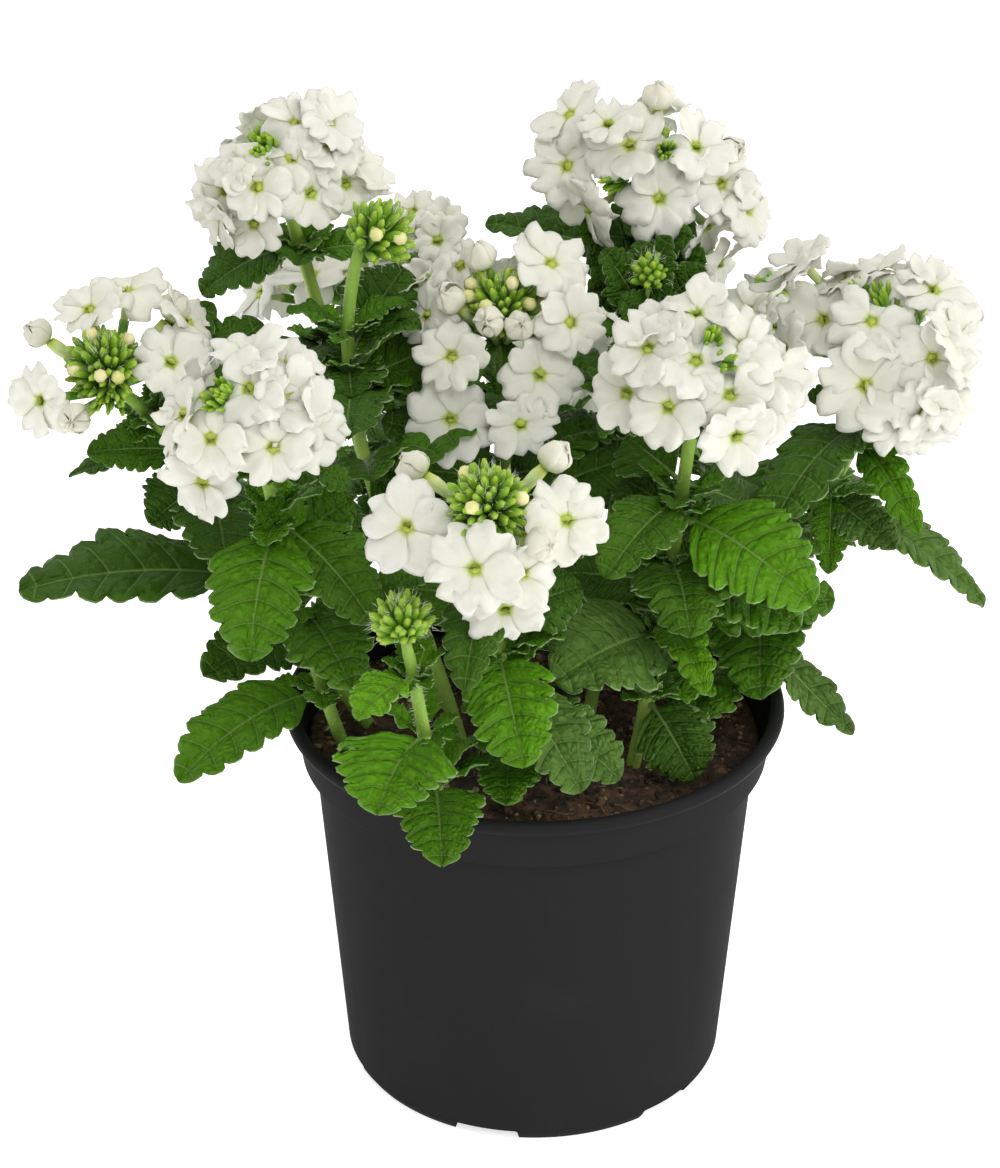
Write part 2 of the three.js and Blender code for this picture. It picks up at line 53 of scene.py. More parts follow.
# Without a seed, Blender's vector noise starts from the clock and the cups come out otherwise in each run.
NOISE_SEED = 1
Colour = tuple[float, float, float]
Point = tuple[float, float, float]
Pixel = tuple[float, float]
GOLDEN_ANGLE = 137.508


# ---------------------------------------------------------------- curves and small sums
def mix(a: float, b: float, share: float) -> float:
    """The value at a share of the way from a to b."""
    return a + (b - a) * share


def blend(a: Colour, b: Colour, share: float) -> Colour:
    """The colour at a share of the way from a to b."""
    return tuple(mix(x, y, share) for x, y in zip(a, b))


def ease(value: float, low: float, high: float) -> float:
    """A smooth step of value from 0 at low to 1 at high."""
    share = min(1.0, max(0.0, (value - low) / (high - low)))
    return share * share * (3 - 2 * share)


def bezier(points: Sequence[Vector], share: float) -> Vector:
    """The point of a Bezier curve at a share of its run.

    Args:
        points: the control points.
        share: the share, from 0 to 1.

    Returns:
        The point.
    """
    points = list(points)
    while len(points) > 1:
        points = [a.lerp(b, share) for a, b in zip(points, points[1:])]
    return points[0]


def heading(points: Sequence[Vector], share: float) -> Vector:
    """The unit direction of a Bezier curve at a share of its run."""
    return bezier([b - a for a, b in zip(points, points[1:])], share).normalized()


def turned(vector: Vector, axis: Vector, degrees: float) -> Vector:
    """A vector turned about an axis through the origin."""
    return Quaternion(axis, math.radians(degrees)) @ vector


def outward(way: Vector, degrees: float) -> Vector:
    """The unit direction square to a way that is turned so far about it."""
    return turned(way.orthogonal().normalized(), way, degrees)


def scatter(rng: random.Random) -> Vector:
    """A random vector whose parts lie between -1 and 1."""
    return Vector((rng.uniform(-1, 1), rng.uniform(-1, 1), rng.uniform(-1, 1)))


# ---------------------------------------------------------------- shader maths
class Signal:
    """A shader socket that takes part in Python sums, each of which adds its Math node."""

    def __init__(self, graph: "Graph", socket: bpy.types.NodeSocket) -> None:
        """Wraps an output socket of a graph."""
        self.graph = graph
        self.socket = socket

    def math(self, operation: str, *terms: "float | Signal") -> "Signal":
        """The result of a Math node whose first input is this signal."""
        return self.graph.add("Math", {"operation": operation}, dict(enumerate((self, *terms))))

    def __add__(self, other: "float | Signal") -> "Signal":
        """Adds."""
        return self.math("ADD", other)

    __radd__ = __add__

    def __sub__(self, other: "float | Signal") -> "Signal":
        """Subtracts."""
        return self.math("SUBTRACT", other)

    def __rsub__(self, other: float) -> "Signal":
        """Subtracts this signal from a number."""
        return self.graph.add("Math", {"operation": "SUBTRACT"}, {0: other, 1: self})

    def __mul__(self, other: "float | Signal") -> "Signal":
        """Multiplies."""
        return self.math("MULTIPLY", other)

    __rmul__ = __mul__

    def step(self, low: float, high: float) -> "Signal":
        """A smooth step from 0 at one value to 1 at another.

        Args:
            low: the value where it is 0.
            high: the value where it is 1; below low, the step runs the other way.

        Returns:
            The stepped signal.
        """
        ends = (low, high, 0.0, 1.0) if low < high else (high, low, 1.0, 0.0)
        return self.graph.add("MapRange", {"interpolation_type": "SMOOTHSTEP"}, dict(enumerate((self, *ends))))


class Graph:
    """The node tree of one material."""

    def __init__(self, name: str) -> None:
        """Makes a material with an empty tree.

        Args:
            name: its name.
        """
        self.material = bpy.data.materials.new(name)
        self.material.use_nodes = True
        self.material.node_tree.nodes.clear()

    def add(self, kind: str, settings: dict, inputs: dict, output: int | str = 0) -> Signal:
        """Adds a node.

        Args:
            kind: the node's type, without its ShaderNode prefix.
            settings: its properties, set first; "stops" holds a ramp's places and colours.
            inputs: a value or a signal for each socket, by name or number.
            output: the socket that is handed back.

        Returns:
            The signal of that output.
        """
        tree = self.material.node_tree
        node = tree.nodes.new("ShaderNode" + kind)
        for key, value in settings.items():
            if key == "stops":
                ramp = node.color_ramp.elements
                for place, colour in value[2:]:
                    ramp.new(place).color = (*colour, 1)
                for stop, (place, colour) in zip(sorted(ramp, key=lambda e: e.position), sorted(value)):
                    stop.position = place
                    stop.color = (*colour, 1)
            else:
                setattr(node, key, value)
        for key, value in inputs.items():
            socket = node.inputs[key]
            if isinstance(value, Signal):
                tree.links.new(value.socket, socket)
            elif socket.type == "RGBA" and len(value) == 3:
                socket.default_value = (*value, 1)
            else:
                socket.default_value = value
        return Signal(self, node.outputs[output] if node.outputs else None)

    def mix(self, share: "float | Signal", a: "Colour | Signal", b: "Colour | Signal") -> Signal:
        """The colour at a share of the way from a to b."""
        return self.add("Mix", {"data_type": "RGBA"}, {0: share, 6: a, 7: b}, 2)

    def product(self, a: "Colour | Signal", b: "Colour | Signal") -> Signal:
        """Two colours multiplied."""
        return self.add("VectorMath", {"operation": "MULTIPLY"}, {0: a, 1: b})

    def scaled(self, colour: "Colour | Signal", factor: "float | Signal") -> Signal:
        """A colour made brighter or darker by a factor."""
        return self.product(colour, self.add("CombineXYZ", {}, {0: factor, 1: factor, 2: factor}))

    def split(self, vector: Signal) -> list[Signal]:
        """The three parts of a vector."""
        node = self.add("SeparateXYZ", {}, {0: vector}).socket.node
        return [Signal(self, socket) for socket in node.outputs]

    def place(self, scale: Point = (1, 1, 1)) -> Signal:
        """The piece's own coordinates in metres, stretched by a scale."""
        at = self.add("TexCoord", {}, {}, "Object")
        return self.add("Mapping", {}, {"Vector": at, "Scale": scale})

    def sheet_place(self, scale: Point = (1, 1, 1)) -> Signal:
        """The piece's UV coordinates, stretched by a scale."""
        at = self.add("UVMap", {"uv_map": "UVMap"}, {})
        return self.add("Mapping", {}, {"Vector": at, "Scale": scale})

    def grain(self, at: Signal, scale: float, detail: float = 3, rough: float = 0.55) -> Signal:
        """Noise from 0 to 1, about 0.5."""
        return self.add("TexNoise", {}, {"Vector": at, "Scale": scale, "Detail": detail, "Roughness": rough})

    def cells(self, at: Signal, scale: float) -> Signal:
        """The distance from the borders of a net of cells."""
        return self.add("TexVoronoi", {"feature": "DISTANCE_TO_EDGE"}, {"Vector": at, "Scale": scale})

    def tint(self) -> Signal:
        """The colour that the mesh carries."""
        return self.add("Attribute", {"attribute_name": "tint"}, {}, "Color")

    def bump(self, height: Signal, strength: float, depth_mm: float) -> Signal:
        """A normal raised by a height from 0 to 1."""
        return self.add("Bump", {}, {"Height": height, "Strength": strength, "Distance": depth_mm * MM})

    def surface(self, inputs: dict) -> bpy.types.Material:
        """Ends the tree in a Principled shader.

        Args:
            inputs: a value or a signal for each of its sockets.

        Returns:
            The material.
        """
        shader = self.add("BsdfPrincipled", {}, inputs)
        self.add("OutputMaterial", {}, {"Surface": shader})
        return self.material


# ---------------------------------------------------------------- finishes
@dataclass(frozen=True)
class PotPlastic:
    """Matte charcoal plastic with a fine moulded grain, faint dust and a glossier lip."""

    base: Colour = (0.019, 0.0191, 0.0193)
    dust: Colour = (0.03, 0.03, 0.0295)
    lip_height: float = 94.5

    def material(self) -> bpy.types.Material:
        """Builds the material.

        Returns:
            The material.
        """
        g = Graph("charcoal_plastic")
        height = g.split(g.place())[2]
        cloud = g.grain(g.place(), 38, 4)
        scuff = g.grain(g.place((1, 1, 0.08)), 420, 2)
        grain = g.grain(g.place(), 2600, 2)
        lip = height.step(self.lip_height * MM, (self.lip_height + 1.2) * MM)
        dusty = cloud.step(0.52, 0.8) * 0.28 + scuff.step(0.6, 0.85) * 0.12
        colour = g.mix(dusty * (1 - lip * 0.7), self.base, self.dust)
        rough = 0.5 + cloud * 0.14 + scuff * 0.05 - lip * 0.2
        normal = g.bump(grain * 0.6 + cloud * 0.4, 0.16, 0.25)
        return g.surface({"Base Color": colour, "Roughness": rough, "Normal": normal, "Specular IOR Level": 0.008})


@dataclass(frozen=True)
class Peat:
    """Damp peat: dark brown with redder threads and pale specks."""

    dark: Colour = (0.036, 0.023, 0.015)
    red: Colour = (0.2, 0.1, 0.055)
    pale: Colour = (0.34, 0.24, 0.15)

    def material(self) -> bpy.types.Material:
        """Builds the material.

        Returns:
            The material.
        """
        g = Graph("peat")
        clod = g.grain(g.place(), 210, 5, 0.65)
        thread = g.grain(g.place((1, 0.35, 1)), 900, 3, 0.7)
        speck = g.grain(g.place(), 1500, 1)
        brown = g.mix(clod.step(0.42, 0.68) * 0.75 + thread.step(0.55, 0.75) * 0.35, self.dark, self.red)
        colour = g.mix(speck.step(0.7, 0.78) * 0.5, brown, self.pale)
        normal = g.bump(clod * 0.6 + thread * 0.4, 0.9, 1.2)
        return g.surface({"Base Color": colour, "Roughness": 0.82 + speck * 0.12, "Normal": normal})


@dataclass(frozen=True)
class Crumb:
    """Loose peat crumbs and fibres, each with its own tint."""

    scale: float = 1300

    def material(self) -> bpy.types.Material:
        """Builds the material.

        Returns:
            The material.
        """
        g = Graph("peat_crumb")
        grain = g.grain(g.place(), self.scale, 3, 0.7)
        colour = g.scaled(g.tint(), 0.55 + grain * 0.9)
        return g.surface({"Base Color": colour, "Roughness": 0.9 + grain * 0.05, "Normal": g.bump(grain, 0.6, 0.5)})


@dataclass(frozen=True)
class LeafFace:
    """A leaf's face: sunken side veins that run to the lobes, a net of fine veins, and a pale hairy edge. Painted shade
    darkens the net's lines and the flanks of the side veins.
    """

    name: str
    lobes: int = 7
    vein: Colour = (0.2, 0.34, 0.08)
    edge: Colour = (0.38, 0.5, 0.26)
    # Near-black green: painted shade for the sunken net and the side veins' flanks.
    groove_shade: Colour = (0.016, 0.06, 0.004)
    pale: Colour = (0.17, 0.3, 0.1)
    net: Point = (9, 15, 1)
    fine_net: Point = (24, 38, 1)
    paleness: float = 0.0
    relief: float = 1.0

    def material(self) -> bpy.types.Material:
        """Builds the material.

        Returns:
            The material.
        """
        g = Graph(self.name)
        across, along, _ = g.split(g.sheet_place())
        off = (across * 2 - 1).math("ABSOLUTE")
        from_vein = ((along * self.lobes).math("FRACT") - 0.5).math("ABSOLUTE")
        side_vein = from_vein.step(0.075, 0.015) * off.step(1.0, 0.75)
        flank = from_vein.step(0.2, 0.06) * off.step(1.0, 0.8)
        midrib = off.step(0.055, 0.012)
        net, fine_net = (g.cells(g.sheet_place(scale), 1.0) for scale in (self.net, self.fine_net))
        mottle = g.grain(g.place(), 260, 4, 0.6)
        fuzz = g.grain(g.place(), 2600, 2, 0.7)
        base = g.scaled(g.tint(), 0.61 + mottle * 0.56)
        # Painted shade in the grooves: the net's lines and the side veins' flanks are darkened towards a near-black
        # green.
        sunk = g.mix(net.step(0.16, 0.0) * 0.22 + flank * 0.16, base, self.groove_shade)
        veined = g.mix(side_vein * 0.3 + midrib * 0.5 + fine_net.step(0.05, 0.0) * 0.06, sunk, self.vein)
        rim = off.step(0.96, 1.0) * 0.5 + fuzz.step(0.66, 0.8) * 0.14
        colour = g.mix(rim, veined, self.edge)
        faded = g.mix(self.paleness, colour, self.pale) if self.paleness else colour
        blister = net.step(0.0, 0.42) + fine_net.step(0.0, 0.35) * 0.12
        height = blister - side_vein * 0.8 - flank * 0.35 - midrib * 0.5 + mottle * 0.2
        return g.surface({
            "Base Color": faded, "Roughness": 0.4 + mottle * 0.2,
            "Normal": g.bump(height, 0.7, 0.9 * self.relief), "Specular IOR Level": 0.3,
            "Specular Tint": (0.8, 1.0, 0.45, 1),
        })


@dataclass(frozen=True)
class Flesh:
    """Green stalk or calyx: the mesh's own tint with fine lengthwise streaks."""

    name: str
    rough: float = 0.5

    def material(self) -> bpy.types.Material:
        """Builds the material.

        Returns:
            The material.
        """
        g = Graph(self.name)
        streak = g.grain(g.sheet_place((9, 1.2, 1)), 3, 3)
        mottle = g.grain(g.place(), 420, 3)
        colour = g.scaled(g.tint(), 0.68 + streak * 0.3 + mottle * 0.34)
        return g.surface({
            "Base Color": colour, "Roughness": self.rough + mottle * 0.15, "Normal": g.bump(streak, 0.35, 0.3),
            "Sheen Weight": 0.06, "Sheen Roughness": 0.4, "Subsurface Weight": 0.08, "Subsurface Scale": 0.0015,
        })


@dataclass(frozen=True)
class PetalSkin:
    """A thin white petal with faint lengthwise veins and a yellow-green base. Towards the throat it darkens to a
    cream-green that is partly its own cream and partly painted shade.
    """

    white: Colour = (0.735, 0.73, 0.65)
    # Cream-green towards the throat: partly the petal's own cream, partly painted shade where the petals overlap.
    shade: Colour = (0.69, 0.705, 0.55)
    base: Colour = (0.5, 0.6, 0.08)

    def material(self) -> bpy.types.Material:
        """Builds the material.

        Returns:
            The material.
        """
        g = Graph("petal")
        along = g.split(g.sheet_place())[1]
        streak = g.grain(g.sheet_place((26, 2.2, 1)), 1, 3)
        crinkle = g.grain(g.place(), 330, 3)
        # Darker and greener towards the throat: partly the petal's own cream, partly painted shade; the streaks are its
        # veins.
        tinted = g.mix(along.step(0.62, 0.05) * 0.6 + streak.step(0.5, 0.8) * 0.2, self.white, self.shade)
        glow = (along + streak * 0.1).step(0.22, 0.06)
        colour = g.mix(glow, tinted, self.base)
        own = g.product(colour, g.tint())
        normal = g.bump(streak * 0.6 + crinkle * 0.5, 0.3, 0.45)
        return g.surface({
            "Base Color": own, "Roughness": 0.5 + streak * 0.14, "Normal": normal, "Specular IOR Level": 0.35,
            "Subsurface Weight": 0.22, "Subsurface Scale": 0.0022, "Subsurface Radius": (1.0, 1.0, 0.8),
            "Sheen Weight": 0.08,
        })


@dataclass(frozen=True)
class Fuzz:
    """The fine white hairs of stems and calyces."""

    dull: Colour = (0.62, 0.7, 0.5)
    bright: Colour = (0.85, 0.88, 0.8)

    def material(self) -> bpy.types.Material:
        """Builds the material.

        Returns:
            The material.
        """
        g = Graph("white_hair")
        fade = g.grain(g.place(), 300, 2)
        return g.surface({
            "Base Color": g.mix(fade, self.dull, self.bright), "Roughness": 0.45 + fade * 0.1,
            "Subsurface Weight": 0.1, "Subsurface Scale": 0.001,
        })


@dataclass(frozen=True)
class PaleFloor:
    """A plain floor, close to white."""

    shade: Colour = (0.86, 0.86, 0.86)
    glow: float = 0.68

    def material(self) -> bpy.types.Material:
        """Builds the material.

        Returns:
            The material.
        """
        g = Graph("pale_floor")
        return g.surface({
            "Base Color": self.shade, "Roughness": 0.9, "Emission Color": (1, 1, 1), "Emission Strength": self.glow,
            "Specular IOR Level": 0.1,
        })


# ---------------------------------------------------------------- modelling
class Piece:
    """One object of the plant while it is modelled, in millimetres."""

    def __init__(self, name: str) -> None:
        """Starts an empty piece.

        Args:
            name: the finished object's name.
        """
        self.name = name
        self.bm = self.fresh()
        self.draft = bpy.data.meshes.new("draft")

    @staticmethod
    def fresh() -> bmesh.types.BMesh:
        """Starts a form.

        Returns:
            An empty bmesh with the layers that every form carries.
        """
        bm = bmesh.new()
        bm.loops.layers.uv.new("UVMap")
        bm.verts.layers.float_color.new("tint")
        return bm

    def join(self, bm: bmesh.types.BMesh) -> None:
        """Adds a finished form to the piece.

        Args:
            bm: the form, which is freed.
        """
        bm.to_mesh(self.draft)
        bm.free()
        self.bm.from_mesh(self.draft)

    def sheet(
        self,
        columns: int,
        rows: int,
        surface: Callable[[float, float], Vector],
        tint: Callable[[float, float], Colour],
        stretch: float = 1.0,
    ) -> None:
        """Adds a sheet: a grid whose vertices are carried to a surface.

        Args:
            columns: faces across.
            rows: faces along.
            surface: the point for the shares across and along.
            tint: the colour for the shares across and along.
            stretch: how many times the UV map's height the sheet takes.
        """
        bm = self.fresh()
        uv, tints = bm.loops.layers.uv.active, bm.verts.layers.float_color["tint"]
        middle = Matrix.Translation((0.5, 0.5, 0))
        bmesh.ops.create_grid(bm, x_segments=columns, y_segments=rows, size=0.5, matrix=middle)
        for face in bm.faces:
            face.smooth = True
            for loop in face.loops:
                loop[uv].uv = (loop.vert.co.x, loop.vert.co.y * stretch)
        for vert in bm.verts:
            u, v = vert.co.x, vert.co.y
            vert[tints] = (*tint(u, v), 1)
            vert.co = surface(u, v)
        self.join(bm)

    def sweep(
        self,
        path: Sequence[Vector],
        radii: Sequence[float],
        tints: Sequence[Colour],
        sides: int = 6,
        flute: float = 1.0,
    ) -> None:
        """Adds a closed form whose round section runs along a path.

        Args:
            path: the middle of each section.
            radii: the radius of each section.
            tints: the colour of each section.
            sides: vertices round a section.
            flute: how far out every second vertex stands, as a share of the radius.
        """
        bm = self.fresh()
        uv, layer = bm.loops.layers.uv.active, bm.verts.layers.float_color["tint"]
        ring = bmesh.ops.create_circle(bm, segments=sides, radius=1.0)["verts"]
        shares = {}
        for k, vert in enumerate(ring):
            vert.co *= flute if k % 2 else 1.0
            vert[layer] = (*tints[0], 1)
            shares[vert] = (k / sides, 0.0)
        places = self._sections(path, radii)
        bmesh.ops.transform(bm, matrix=places[0], verts=ring)
        edges = list(bm.edges)
        bmesh.ops.contextual_create(bm, geom=edges)
        for k, (before, after) in enumerate(zip(places, places[1:]), 1):
            step = after @ before.inverted()
            made = bmesh.ops.extrude_edge_only(bm, edges=edges)["geom"]
            fresh = [item for item in made if isinstance(item, bmesh.types.BMVert)]
            inside = set(fresh)
            edges = [e for e in made if isinstance(e, bmesh.types.BMEdge) and inside.issuperset(e.verts)]
            for vert in fresh:
                vert[layer] = (*tints[k], 1)
                old = next(v for v in (e.other_vert(vert) for e in vert.link_edges) if v not in inside)
                shares[vert] = (shares[old][0], k / (len(places) - 1))
            bmesh.ops.transform(bm, matrix=step, verts=fresh)
            ring = fresh
        bmesh.ops.contextual_create(bm, geom=edges)
        bmesh.ops.recalc_face_normals(bm, faces=bm.faces)
        for face in bm.faces:
            face.smooth = len(face.verts) < 5
            for loop in face.loops:
                loop[uv].uv = shares.get(loop.vert, (0.5, 1.0))
        self.join(bm)

    @staticmethod
    def _sections(path: Sequence[Vector], radii: Sequence[float]) -> list[Matrix]:
        """Carries the sections of a sweep along its path without twist.

        Args:
            path: the middle of each section.
            radii: the radius of each section.

        Returns:
            The place of each section.
        """
        legs = [(b - a).normalized() for a, b in zip(path, path[1:])]
        ways = [legs[0], *((a + b).normalized() for a, b in zip(legs, legs[1:])), legs[-1]]
        facing = ways[0].to_track_quat("Z", "Y")
        places = []
        for k, (at, radius) in enumerate(zip(path, radii)):
            if k:
                facing = ways[k - 1].rotation_difference(ways[k]) @ facing
            places.append(Matrix.LocRotScale(at, facing, Vector((radius, radius, radius))))
        return places

    def hairs(self, roots: Iterable[tuple[Vector, Vector]], radius: float) -> None:
        """Adds fine tapered hairs, in the second of the piece's finishes.

        Args:
            roots: each hair's root, and its run from there.
            radius: radius at the root.
        """
        bm = self.fresh()
        for at, run in roots:
            place = Matrix.Translation(at + run * 0.5) @ run.to_track_quat("Z", "Y").to_matrix().to_4x4()
            bmesh.ops.create_cone(
                bm, cap_ends=True, segments=3, radius1=radius, radius2=radius * 0.2, depth=run.length, matrix=place
            )
        for face in bm.faces:
            face.material_index = 1
        self.join(bm)

    def finish(
        self,
        finishes: Sequence[bpy.types.Material],
        slot: str,
        nodes: Sequence[str],
        wall: float = 0.0,
        under: int = 0,
    ) -> bpy.types.Object:
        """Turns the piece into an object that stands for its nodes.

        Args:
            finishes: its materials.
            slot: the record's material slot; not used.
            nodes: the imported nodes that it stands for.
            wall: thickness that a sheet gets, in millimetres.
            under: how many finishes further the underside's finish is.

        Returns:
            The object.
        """
        bmesh.ops.scale(self.bm, vec=(MM, MM, MM), verts=self.bm.verts)
        mesh = bpy.data.meshes.new(self.name)
        for material in finishes:
            mesh.materials.append(material)
        self.bm.to_mesh(mesh)
        self.bm.free()
        bpy.data.meshes.remove(self.draft)
        piece = bpy.data.objects.new(self.name, mesh)
        bpy.context.scene.collection.objects.link(piece)
        if wall:
            solidify = piece.modifiers.new("thickness", "SOLIDIFY")
            solidify.thickness = wall * MM
            solidify.offset = -1
            solidify.material_offset = under
            solidify.material_offset_rim = 0
        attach(piece, "root")
        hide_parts(*nodes)
        log.info("%s: %d faces", self.name, len(mesh.polygons))
        return piece


# ---------------------------------------------------------------- the view
@dataclass(frozen=True)
class ViewCamera:
    """The camera, and where its picture's points lie on the plant."""

    target: Point = (-8.3, 0.0, 128.0)
    distance: float = 850.0
    down: float = 28.0
    focal: float = 3600.0
    wide: float = 1000.0
    high: float = 1168.0
    film: float = 36.0

    @property
    def forward(self) -> Vector:
        """The way it looks."""
        return Vector((0, math.cos(math.radians(self.down)), -math.sin(math.radians(self.down))))

    @property
    def eye(self) -> Vector:
        """Where it stands."""
        return Vector(self.target) - self.forward * self.distance

    def ray(self, pixel: Pixel) -> Vector:
        """The way from the camera to a picture point.

        Args:
            pixel: the point, counted from the top left.

        Returns:
            The unit direction.
        """
        right = Vector((1, 0, 0))
        rise = right.cross(self.forward)
        across = (pixel[0] - self.wide / 2) / self.focal
        down = (pixel[1] - self.high / 2) / self.focal
        return (self.forward + right * across - rise * down).normalized()

    def at_depth(self, pixel: Pixel, y: float) -> Vector:
        """The point at a picture point whose world y is given."""
        way = self.ray(pixel)
        return self.eye + way * ((y - self.eye.y) / way.y)

    def onto_ball(self, pixel: Pixel, centre: Vector, radius: float) -> tuple[Vector, float]:
        """The place on the near side of a ball at a picture point.

        Args:
            pixel: the picture point.
            centre: the ball's middle.
            radius: its radius.

        Returns:
            The unit direction from the centre, and the distance: the radius, or more when the point is outside.
        """
        way = self.ray(pixel)
        offset = self.eye - centre
        middle = -offset.dot(way)
        nearest = offset + way * middle
        depth = radius * radius - nearest.length_squared
        if depth <= 0:
            return nearest.normalized(), min(nearest.length, radius * 1.35)
        return (nearest - way * math.sqrt(depth)).normalized(), radius

    def build(self) -> None:
        """Makes the camera and sets it as the scene's."""
        data = bpy.data.cameras.new("camera")
        data.sensor_width = self.film
        data.lens = self.focal * self.film / self.high
        camera = bpy.data.objects.new("camera", data)
        camera.location = self.eye * MM
        camera.rotation_mode = "QUATERNION"
        camera.rotation_quaternion = self.forward.to_track_quat("-Z", "Y")
        bpy.context.scene.collection.objects.link(camera)
        bpy.context.scene.camera = camera


VIEW = ViewCamera()


# ---------------------------------------------------------------- the plant's plan
class Tone(Enum):
    """A leaf's colour, from darkest to brightest green. The darker tones are partly the leaves' own colour and partly
    painted shade for leaves that sit in the shade of others.
    """

    DARK = (0.034, 0.094, 0.006)
    GREY = (0.085, 0.165, 0.03)
    DEEP = (0.05, 0.146, 0.004)
    MID = (0.068, 0.2, 0.003)
    BRIGHT = (0.09, 0.265, 0.003)
    YOUNG = (0.14, 0.36, 0.008)


class HeadKind(Enum):
    """How far a flower head has opened."""

    FULL = "full"
    OPEN = "open"
    BUDS = "buds"


@dataclass(frozen=True)
class SetLeaf:
    """A leaf given one by one: its share of the stem, its tip, width, roll, tone and arch, and how far its tip has
    sunk.
    """

    share: float
    tip: Point
    width: float
    roll: float
    tone: Tone = Tone.MID
    arch: float = 0.26
    sunk: float = 0.0


@dataclass(frozen=True)
class LeafPair:
    """Two opposite leaves: their share of the stem, compass direction, length, width, pitch and tone."""

    share: float
    compass: float
    length: float
    width: float
    pitch: float
    tone: Tone = Tone.DEEP


@dataclass(frozen=True)
class Filler:
    """A leaf behind others: its share of the stem, its tip as a picture point and a depth, its width and tone."""

    share: float
    tip: Pixel
    depth: float
    width: float
    # The dark default tone is partly painted shade, for a leaf in the shade of others.
    tone: Tone = Tone.DARK


@dataclass(frozen=True)
class Bloom:
    """A floret that shows: its throat's picture point, how far it turns to the front, how far out it stands, its size.

    The last two are shares of the head's reach and of its florets' radius.
    """

    x: float
    y: float
    facing: float = 0.6
    out: float = 1.0
    size: float = 1.0


@dataclass(frozen=True)
class Shoot:
    """One shoot: where it leaves the soil, where and how its head stands, its leaves and its florets.

    What shows of a head from the front is given by picture points: open florets and ones about to open (each the
    values of a Bloom), small round buds, and tufts of green calyces between the florets. Other florets stand only
    where the cosine between their direction and the view's is more than `behind`. `radius` is an open floret's
    radius, and `crown` the way the head faces where that isn't the stem's axis.
    """

    name: str
    kind: HeadKind
    foot: tuple[float, float]
    head: Point
    axis: Point
    reach: float
    turn: float
    leaves: tuple[SetLeaf, ...] = ()
    pairs: tuple[LeafPair, ...] = ()
    blooms: tuple[tuple[float, ...], ...] = ()
    cups: tuple[tuple[float, ...], ...] = ()
    knobs: tuple[Pixel, ...] = ()
    greens: tuple[Pixel, ...] = ()
    behind: float = 0.3
    radius: float = 10.0
    crown: Point | None = None
    fillers: tuple[Filler, ...] = ()

    @property
    def number(self) -> int:
        """A number that comes from its name, from which its seeds are counted."""
        return sum(map(ord, self.name))


